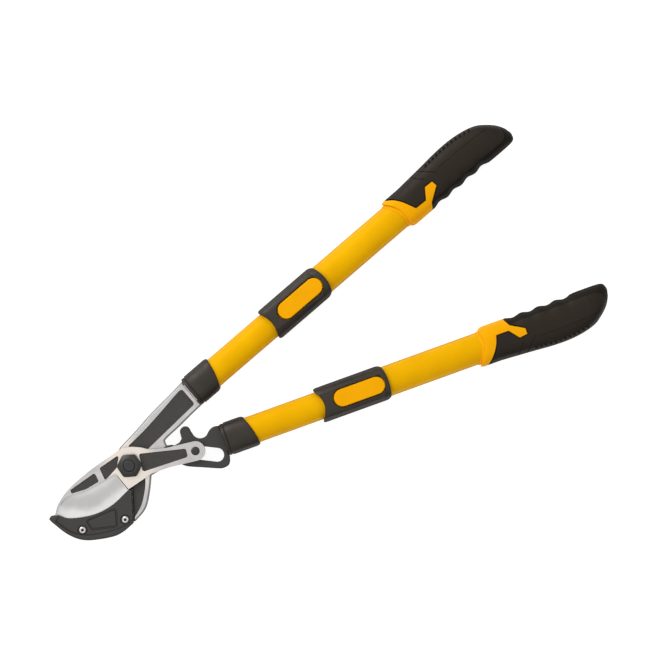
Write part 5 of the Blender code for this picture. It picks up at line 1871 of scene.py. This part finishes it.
@dataclass
class Grip:
    """The grip of a handle: a yellow body that shows at its mouth, in a soft black scalloped cover.

    Places in the fields back, finger, shortfall, window_edges, prongs and ribs are in the grip's own frame,
    along it from its mouth and across it, the last three in millimetres.
    """

    handle: Handle
    mouth: float = 312.0 * MM
    slant: float = 5.0 * MM
    bulge: float = 8.0 * MM
    half: float = 19.5 * MM
    height: float = 16.0 * MM
    bore: Point = (18.3 * MM, 13.3 * MM)
    liner: Point = (19.5 * MM, 14.5 * MM)
    liner_start: float = 16.7 * MM
    core_end: float = 443.5 * MM
    tube_end: float = 440.3 * MM
    scallop_start: float = 40.5 * MM
    scallop_pitch: float = 21.0 * MM
    scallop_depth: float = 2.2 * MM
    scallop_count: int = 4
    power: float = 2.6
    lowered_power: float = 2.15
    lowered_side: float = 0.05
    rings: int = 88
    last_ring: float = 0.6 * MM
    reach: float = 30.0 * MM
    back: tuple[Point, ...] = tuple(mm(
        (22, 2.9), (44, 4.3), (62, 5.5), (80, 6.9), (96, 7.4), (108, 6.9), (120, 5.4), (132, 2.6), (142, -1.8),
        (152, -9.6), (158, -16.0), (162.5, -23.5), (165, -30.0)))
    finger: tuple[Point, ...] = tuple(mm(
        (22, 2.9), (40, 2.8), (108, 2.8), (128, 3.7), (146, 3.8), (154, 3.6), (159, 3.1), (162.5, 1.5),
        (165, -2.5)))
    shortfall: tuple[Point, ...] = tuple(mm(
        (22, 0), (128, 0), (140, 0.6), (150, 2.8), (158, 7.0), (162.5, 10.5), (165, 13.0)))
    mouth_rim: tuple[Point, ...] = tuple(mm((0.0, 2.4), (0.3, 1.4), (1.0, 0.5), (2.2, 0.1), (3.2, 0.0)))
    end_rim: tuple[Point, ...] = tuple(mm((0.25, 0.8), (0.0, 1.8)))
    corners: Point = (3.5 * MM, 7.0 * MM)
    lip: tuple[Point, ...] = tuple(mm((-3.6, 0.75), (-2.52, 0.45), (-1.08, 0.3), (1, 0.2), (20, 0.0)))
    step: float = 1.0 * MM
    border: float = 1.5 * MM
    crease_radius: float = 0.85 * MM
    crease_sunk: float = 0.9 * MM
    window_edges: dict[Side, tuple[Point, ...]] = field(default_factory=lambda: {
        Side.A: ((0.2, 24.5), (3.0, 21.0), (9.4, 16.0), (15.4, 8.2), (19.9, -0.8), (23.6, -8.7)),
        Side.B: ((1.8, 25.4), (4.4, 22.6), (10.7, 17.4), (17.8, 8.5), (22.2, 0.2), (24.8, -7.6))})
    prongs: dict[Side, tuple[Point, ...]] = field(default_factory=lambda: {
        Side.A: ((38.4, -9.2), (47.3, 3.2), (57.5, 2.8), (58.6, -3.6), (42.0, -15.0), (37.7, -22.3),
                 (37.5, -32), (-12, -32), (-12, 32)),
        Side.B: ((40.2, -7.6), (49.8, 4.3), (59.2, 3.0), (59.1, -3.6), (43.1, -13.0), (39.4, -20.4),
                 (38.4, -32), (-12, -32), (-12, 32))})
    ribs: tuple[tuple[float, tuple[Point, ...]], ...] = (
        (0.55, ((70, 10.4), (100, 10.2), (120, 9.7), (136, 9.0), (144, 7.6))),
        (0.8, ((42.6, 22.8), (46.5, 17.0), (52, 11.0))),
        (0.8, ((53.5, 23.0), (59, 17.0), (68, 8.5))))
    vents: tuple[float, float, int] = (64.2 * MM, 128.3 * MM, 12)
    vent_half: float = 1.5 * MM
    vent_lean: float = 0.6 * MM
    vent_inset: float = 3.7 * MM
    vent_depth: float = 3.0 * MM
    vent_proud: float = 6 * MM

    def read_off(self, points: Sequence[Point], distance: float) -> float:
        """The value of a smooth graph.

        Args:
            points: Points of the graph.
            distance: Distance from the mouth.

        Returns:
            The value at that distance.
        """
        curve = smooth(points, 8)
        for (x0, y0), (x1, y1) in zip(curve, curve[1:]):
            if distance <= x1:
                return y0 + (y1 - y0) * max(0.0, distance - x0) / (x1 - x0)
        return curve[-1][1]

    def sides(self, distance: float) -> Point:
        """How far back and finger side stand from the tube's middle, and the half height.

        Args:
            distance: Distance from the mouth.

        Returns:
            The three measures.
        """
        share = (distance - self.scallop_start) / self.scallop_pitch
        drawn = 0.0
        if 0 < share < self.scallop_count:
            drawn = self.scallop_depth * math.sin(math.pi * share) ** 2
        return (self.half + self.read_off(self.back, distance),
                self.half + self.read_off(self.finger, distance) - drawn,
                self.height - self.read_off(self.shortfall, distance))

    def surface(self, distance: float, across: float) -> float:
        """Height of the upper surface over the axis.

        Args:
            distance: Distance from the mouth.
            across: The place across.

        Returns:
            The height.
        """
        back, finger, height = self.sides(distance)
        share = abs(across - (back - finger) / 2) / ((back + finger) / 2)
        return height * max(0.0, 1 - min(1.0, share) ** self.power) ** (1 / self.power)

    def mouth_rule(self, back: float) -> Callable[[float], float]:
        """Where the slanted mouth lies, as a rule of the place across.

        Args:
            back: How far behind its edge the line runs.

        Returns:
            The rule.
        """
        half = self.half + self.back[0][1]

        def rule(across: float) -> float:
            """Where the mouth lies."""
            share, drop = across / half, corner_drop(across, half, self.corners[0 if across > 0 else 1])
            return self.mouth - self.slant * share + self.bulge * (1 - share ** 2) + back + drop
        return rule

    def section(self, distance: float, lowered: float, inward: float, sunk: float) -> list[Point]:
        """The cross-section at a distance from the mouth.

        Args:
            distance: The distance.
            lowered: How far its faces are lowered.
            inward: How far its sides are drawn in.
            sunk: How far its faces are drawn in besides.

        Returns:
            Points across and up.
        """
        back, finger, height = self.sides(distance)
        level = height - lowered - sunk
        power = self.lowered_power if lowered else self.power
        return oval((back + finger) / 2 - inward, level, level, power, power, 72, (back - finger) / 2)

    def solid(self, lowered: float = 0.0) -> Blank:
        """The outer form, with a rounded mouth and end.

        Args:
            lowered: How far its faces are lowered.

        Returns:
            The work.
        """
        ring = self.handle.ring
        first, last = self.back[0][0], self.back[-1][0]
        rings = [ring(self.section(first, lowered, inward, inward), self.mouth_rule(back))
                 for back, inward in self.mouth_rim]
        for index in range(self.rings + 1):
            distance = first + (last - first) * index / self.rings
            rings.append(ring(self.section(distance, lowered, lowered * self.lowered_side, 0.0),
                              self.mouth + min(distance, last - self.last_ring)))
        rings += [ring(self.section(last, lowered, inward, inward), self.mouth + last - back)
                  for back, inward in self.end_rim]
        work = Blank().loft(rings)
        # painted shade: a lowered form takes finish 1, the darker rubber
        for face in work.bm.faces:
            face.material_index = 1 if lowered else 0
        return work

    def crease(self) -> list[Point]:
        """The line between the raised face and the finger side, from the prong round the end.

        Returns:
            The points of the line.
        """
        places = []
        for distance, drawn in mm((36, 8.4), (50, 8.0), (64, 7.6), (80, 7.6), (100, 7.8), (124, 8.2),
                                  (142, 8.4), (150, 8.6)):
            scallop = self.sides(distance)[1] - self.half - self.read_off(self.finger, distance)
            places.append((distance, -self.sides(distance)[1] + scallop + drawn))
        return smooth(places + mm((156.5, -11.0), (158.8, -4.0), (157.0, 3.0), (151.5, 9.0), (144.0, 14.5)), 4)

    def window_tool(self, growth: float) -> Blank:
        """The yellow area as a prism through the grip.

        Args:
            growth: How far it is grown.

        Returns:
            The tool.
        """
        side = self.handle.side
        route = mm(*smooth(self.window_edges[side], 4), *self.prongs[side])
        outline = [(self.mouth + x, y) for x, y in route][::-1]
        return Blank().slab(moved_out(outline, growth), -self.reach, self.reach)

    def groove_tool(self, route: Sequence[Point], radius: float, sunk: float = 0.0) -> Blank:
        """A round wire that lies in the surface on both faces of the grip.

        Args:
            route: Its way, along and across.
            radius: Its radius.
            sunk: How far it lies below the surface.

        Returns:
            The tool.
        """
        tool = Blank()
        turns = [math.tau * turn / 8 for turn in range(8)]
        places = smooth(route, 6)
        for sign in (1, -1):
            line = [Vector((self.mouth + x, y, sign * (self.surface(x, y) - sunk))) for x, y in places]
            rings = []
            for index, point in enumerate(line):
                along = (line[min(index + 1, len(line) - 1)] - line[max(index - 1, 0)]).normalized()
                beside = along.cross(Vector((0, 0, 1))).normalized()
                up = beside.cross(along)
                rings.append([tuple(point + radius * (beside * math.cos(a) + up * math.sin(a))) for a in turns])
            tool.loft(rings)
        return tool

    def vent_tool(self) -> Blank:
        """The row of small slots along the back, on both faces.

        Returns:
            The tool.
        """
        start, end, count = self.vents
        half, lean = self.vent_half, self.vent_lean
        tool = Blank()
        for index in range(count):
            distance = start + (end - start) * index / (count - 1)
            across = self.sides(distance)[0] - self.vent_inset
            level = self.surface(distance, across)
            x = self.mouth + distance
            shape = [(x - half - lean, across - half), (x + half - lean, across - half),
                     (x + half + lean, across + half), (x - half + lean, across + half)]
            tool.slab(shape, level - self.vent_depth, level + self.vent_proud)
            tool.slab(shape, -level - self.vent_proud, -level + self.vent_depth)
        return tool

    def build(self) -> None:
        """Makes both pieces of the grip."""
        self.build_core()
        self.build_cover()

    def build_core(self) -> None:
        """Makes the yellow body: what shows in the window, a lip on the tube and a liner in the cover."""
        handle = self.handle
        width, height = self.liner[0] - FIT, self.liner[1] - FIT
        lip = Blank().loft([handle.ring(oval(width - inward, height - inward, height - inward),
                                        self.mouth_rule(station)) for station, inward in self.lip])
        handle.install(self.solid(), "grip_body", handle.slide, "yellow_plastic", [handle.palette.amber],
                       "grip_core", (self.window_tool(0.0), Change.KEEP), (lip, Change.JOIN),
                       (handle.bar(self.liner, self.mouth + self.liner_start, self.core_end), Change.JOIN),
                       (handle.bar(self.bore, 0.0, self.tube_end), Change.CUT))

    def build_cover(self) -> None:
        """Makes the soft cover: a raised face on a lowered form in a darker rubber that paints shade, with its
        window, creases, ribs and vents.
        """
        handle = self.handle
        crease = self.crease()
        route = [(self.mouth + x, y) for x, y in crease + mm((146, 40), (200, 40), (200, -60), (30, -60))]
        outside = Blank().slab(route, -self.reach, self.reach)
        room = handle.bar((self.liner[0] + FIT, self.liner[1] + FIT), 0.0, self.core_end + FIT)
        ribs = [self.groove_tool(mm(*places), radius * MM) for radius, places in self.ribs]
        cuts = [self.window_tool(FIT), room,
                self.groove_tool(crease[1:-1:3], self.crease_radius, self.crease_sunk), *ribs, self.vent_tool()]
        handle.install(self.solid(), "grip_cover_soft", handle.slide, "black_rubber",
                       [handle.palette.rubber, handle.palette.sunk_rubber], "grip_cover", (outside, Change.CUT),
                       (self.window_tool(self.border), Change.CUT), (self.solid(self.step), Change.JOIN),
                       *[(tool, Change.CUT) for tool in cuts])


@dataclass
class Studio:
    """Pale floor, soft light and the camera straight above, turned as the photograph is."""

    middle: Point = (0.2784, -0.0364)
    turn: float = -40.72
    picture_width: float = 0.7714
    subject_height: float = 16 * MM
    distance: float = 2.6
    sensor: float = 36.0
    floor_half: float = 14.0
    floor_drop: float = 0.15 * MM
    floor_glow: float = 0.78
    floor_patches: float = 0.4
    floor_tones: tuple[Point, Point] = ((0.48, 0.48, 0.48), (0.50, 0.50, 0.50))
    lamp_place: Point = (-0.2, 1.7, 1.3)
    lamp_size: float = 1.2
    lamp_power: float = 16.0
    sight: float = 50.0
    air_way: Point = (-0.04, 0.30, 0.953)
    air_span: Point = (-0.15, 1.0)
    air_tones: Point = (0.12, 1.12)

    def build_floor(self) -> None:
        """Lays the floor."""
        graph = Graph("pale_floor")
        cloud = graph.noise(self.floor_patches, 2).band(*PATCHY)
        material = graph.finish(base_color=graph.mix(cloud, *self.floor_tones),
                                roughness=0.9, specular_ior_level=0.1, emission_color=(1.0, 1.0, 1.0, 1.0),
                                emission_strength=self.floor_glow)
        work = Blank()
        bmesh.ops.create_grid(work.bm, x_segments=1, y_segments=1, size=self.floor_half,
                              matrix=Matrix.Translation((*self.middle, -self.floor_drop)))
        work.make("studio_floor", material)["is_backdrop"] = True

    def build_lamp(self) -> None:
        """Hangs the soft square lamp, which faces the middle of the lopper."""
        lamp = bpy.data.lights.new("key_lamp", "AREA")
        lamp.size = self.lamp_size
        lamp.energy = self.lamp_power
        hung = bpy.data.objects.new("key_lamp", lamp)
        bpy.context.scene.collection.objects.link(hung)
        target = Vector((*self.middle, 0.0))
        hung.location = target + Vector(self.lamp_place)
        hung.rotation_euler = (target - hung.location).to_track_quat("-Z", "Y").to_euler()
        hung.visible_camera = False

    def build_air(self) -> None:
        """Fills the room with pale light that fades towards the lower right of the picture."""
        world = bpy.data.worlds.new("studio_air")
        bpy.context.scene.world = world
        world.use_nodes = True
        tree = world.node_tree
        way = tree.nodes.new("ShaderNodeTexCoord")
        lean = tree.nodes.new("ShaderNodeVectorMath")
        lean.operation = "DOT_PRODUCT"
        lean.inputs[1].default_value = self.air_way
        tone = tree.nodes.new("ShaderNodeMapRange")
        tone.interpolation_type = "SMOOTHSTEP"
        for name, value in zip(("From Min", "From Max", "To Min", "To Max"), self.air_span + self.air_tones):
            tone.inputs[name].default_value = value
        background = tree.nodes["Background"]
        background.inputs["Color"].default_value = (1.0, 1.0, 1.0, 1.0)
        tree.links.new(way.outputs["Generated"], lean.inputs[0])
        tree.links.new(lean.outputs["Value"], tone.inputs["Value"])
        tree.links.new(tone.outputs["Result"], background.inputs["Strength"])

    def build_camera(self) -> None:
        """Sets the camera."""
        view = bpy.data.cameras.new("photo_view")
        view.sensor_width = self.sensor
        view.lens = self.sensor * self.distance / self.picture_width
        view.clip_end = self.sight
        camera = bpy.data.objects.new("photo_view", view)
        bpy.context.scene.collection.objects.link(camera)
        camera.location = (*self.middle, self.subject_height + self.distance)
        camera.rotation_euler = (0.0, 0.0, math.radians(self.turn))
        bpy.context.scene.camera = camera

    def build(self) -> None:
        """Sets up the studio."""
        bpy.context.scene.view_settings.view_transform = "Standard"
        self.build_floor()
        self.build_air()
        self.build_lamp()
        self.build_camera()


def write_size() -> None:
    """Gathers the CAD's box and the finished model's box, and keeps neither."""
    boxes = {"cad": CAD_BOX, "visual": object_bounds()}
    {name: [list(corner) for corner in box] for name, box in boxes.items()}


def main() -> None:
    """Builds the lopper's looks in order."""
    logging.basicConfig(level=logging.INFO, format="%(message)s")
    Studio().build()
    palette = Palette()
    ForgedArm(palette).build()
    CastAnvil(palette).build()
    HollowBlade(palette).build()
    MainPivot(palette).build()
    LeverPlate(palette).build()
    for side in Side:
        Handle(palette, side).build()
    write_size()


if __name__ == "__main__":
    main()
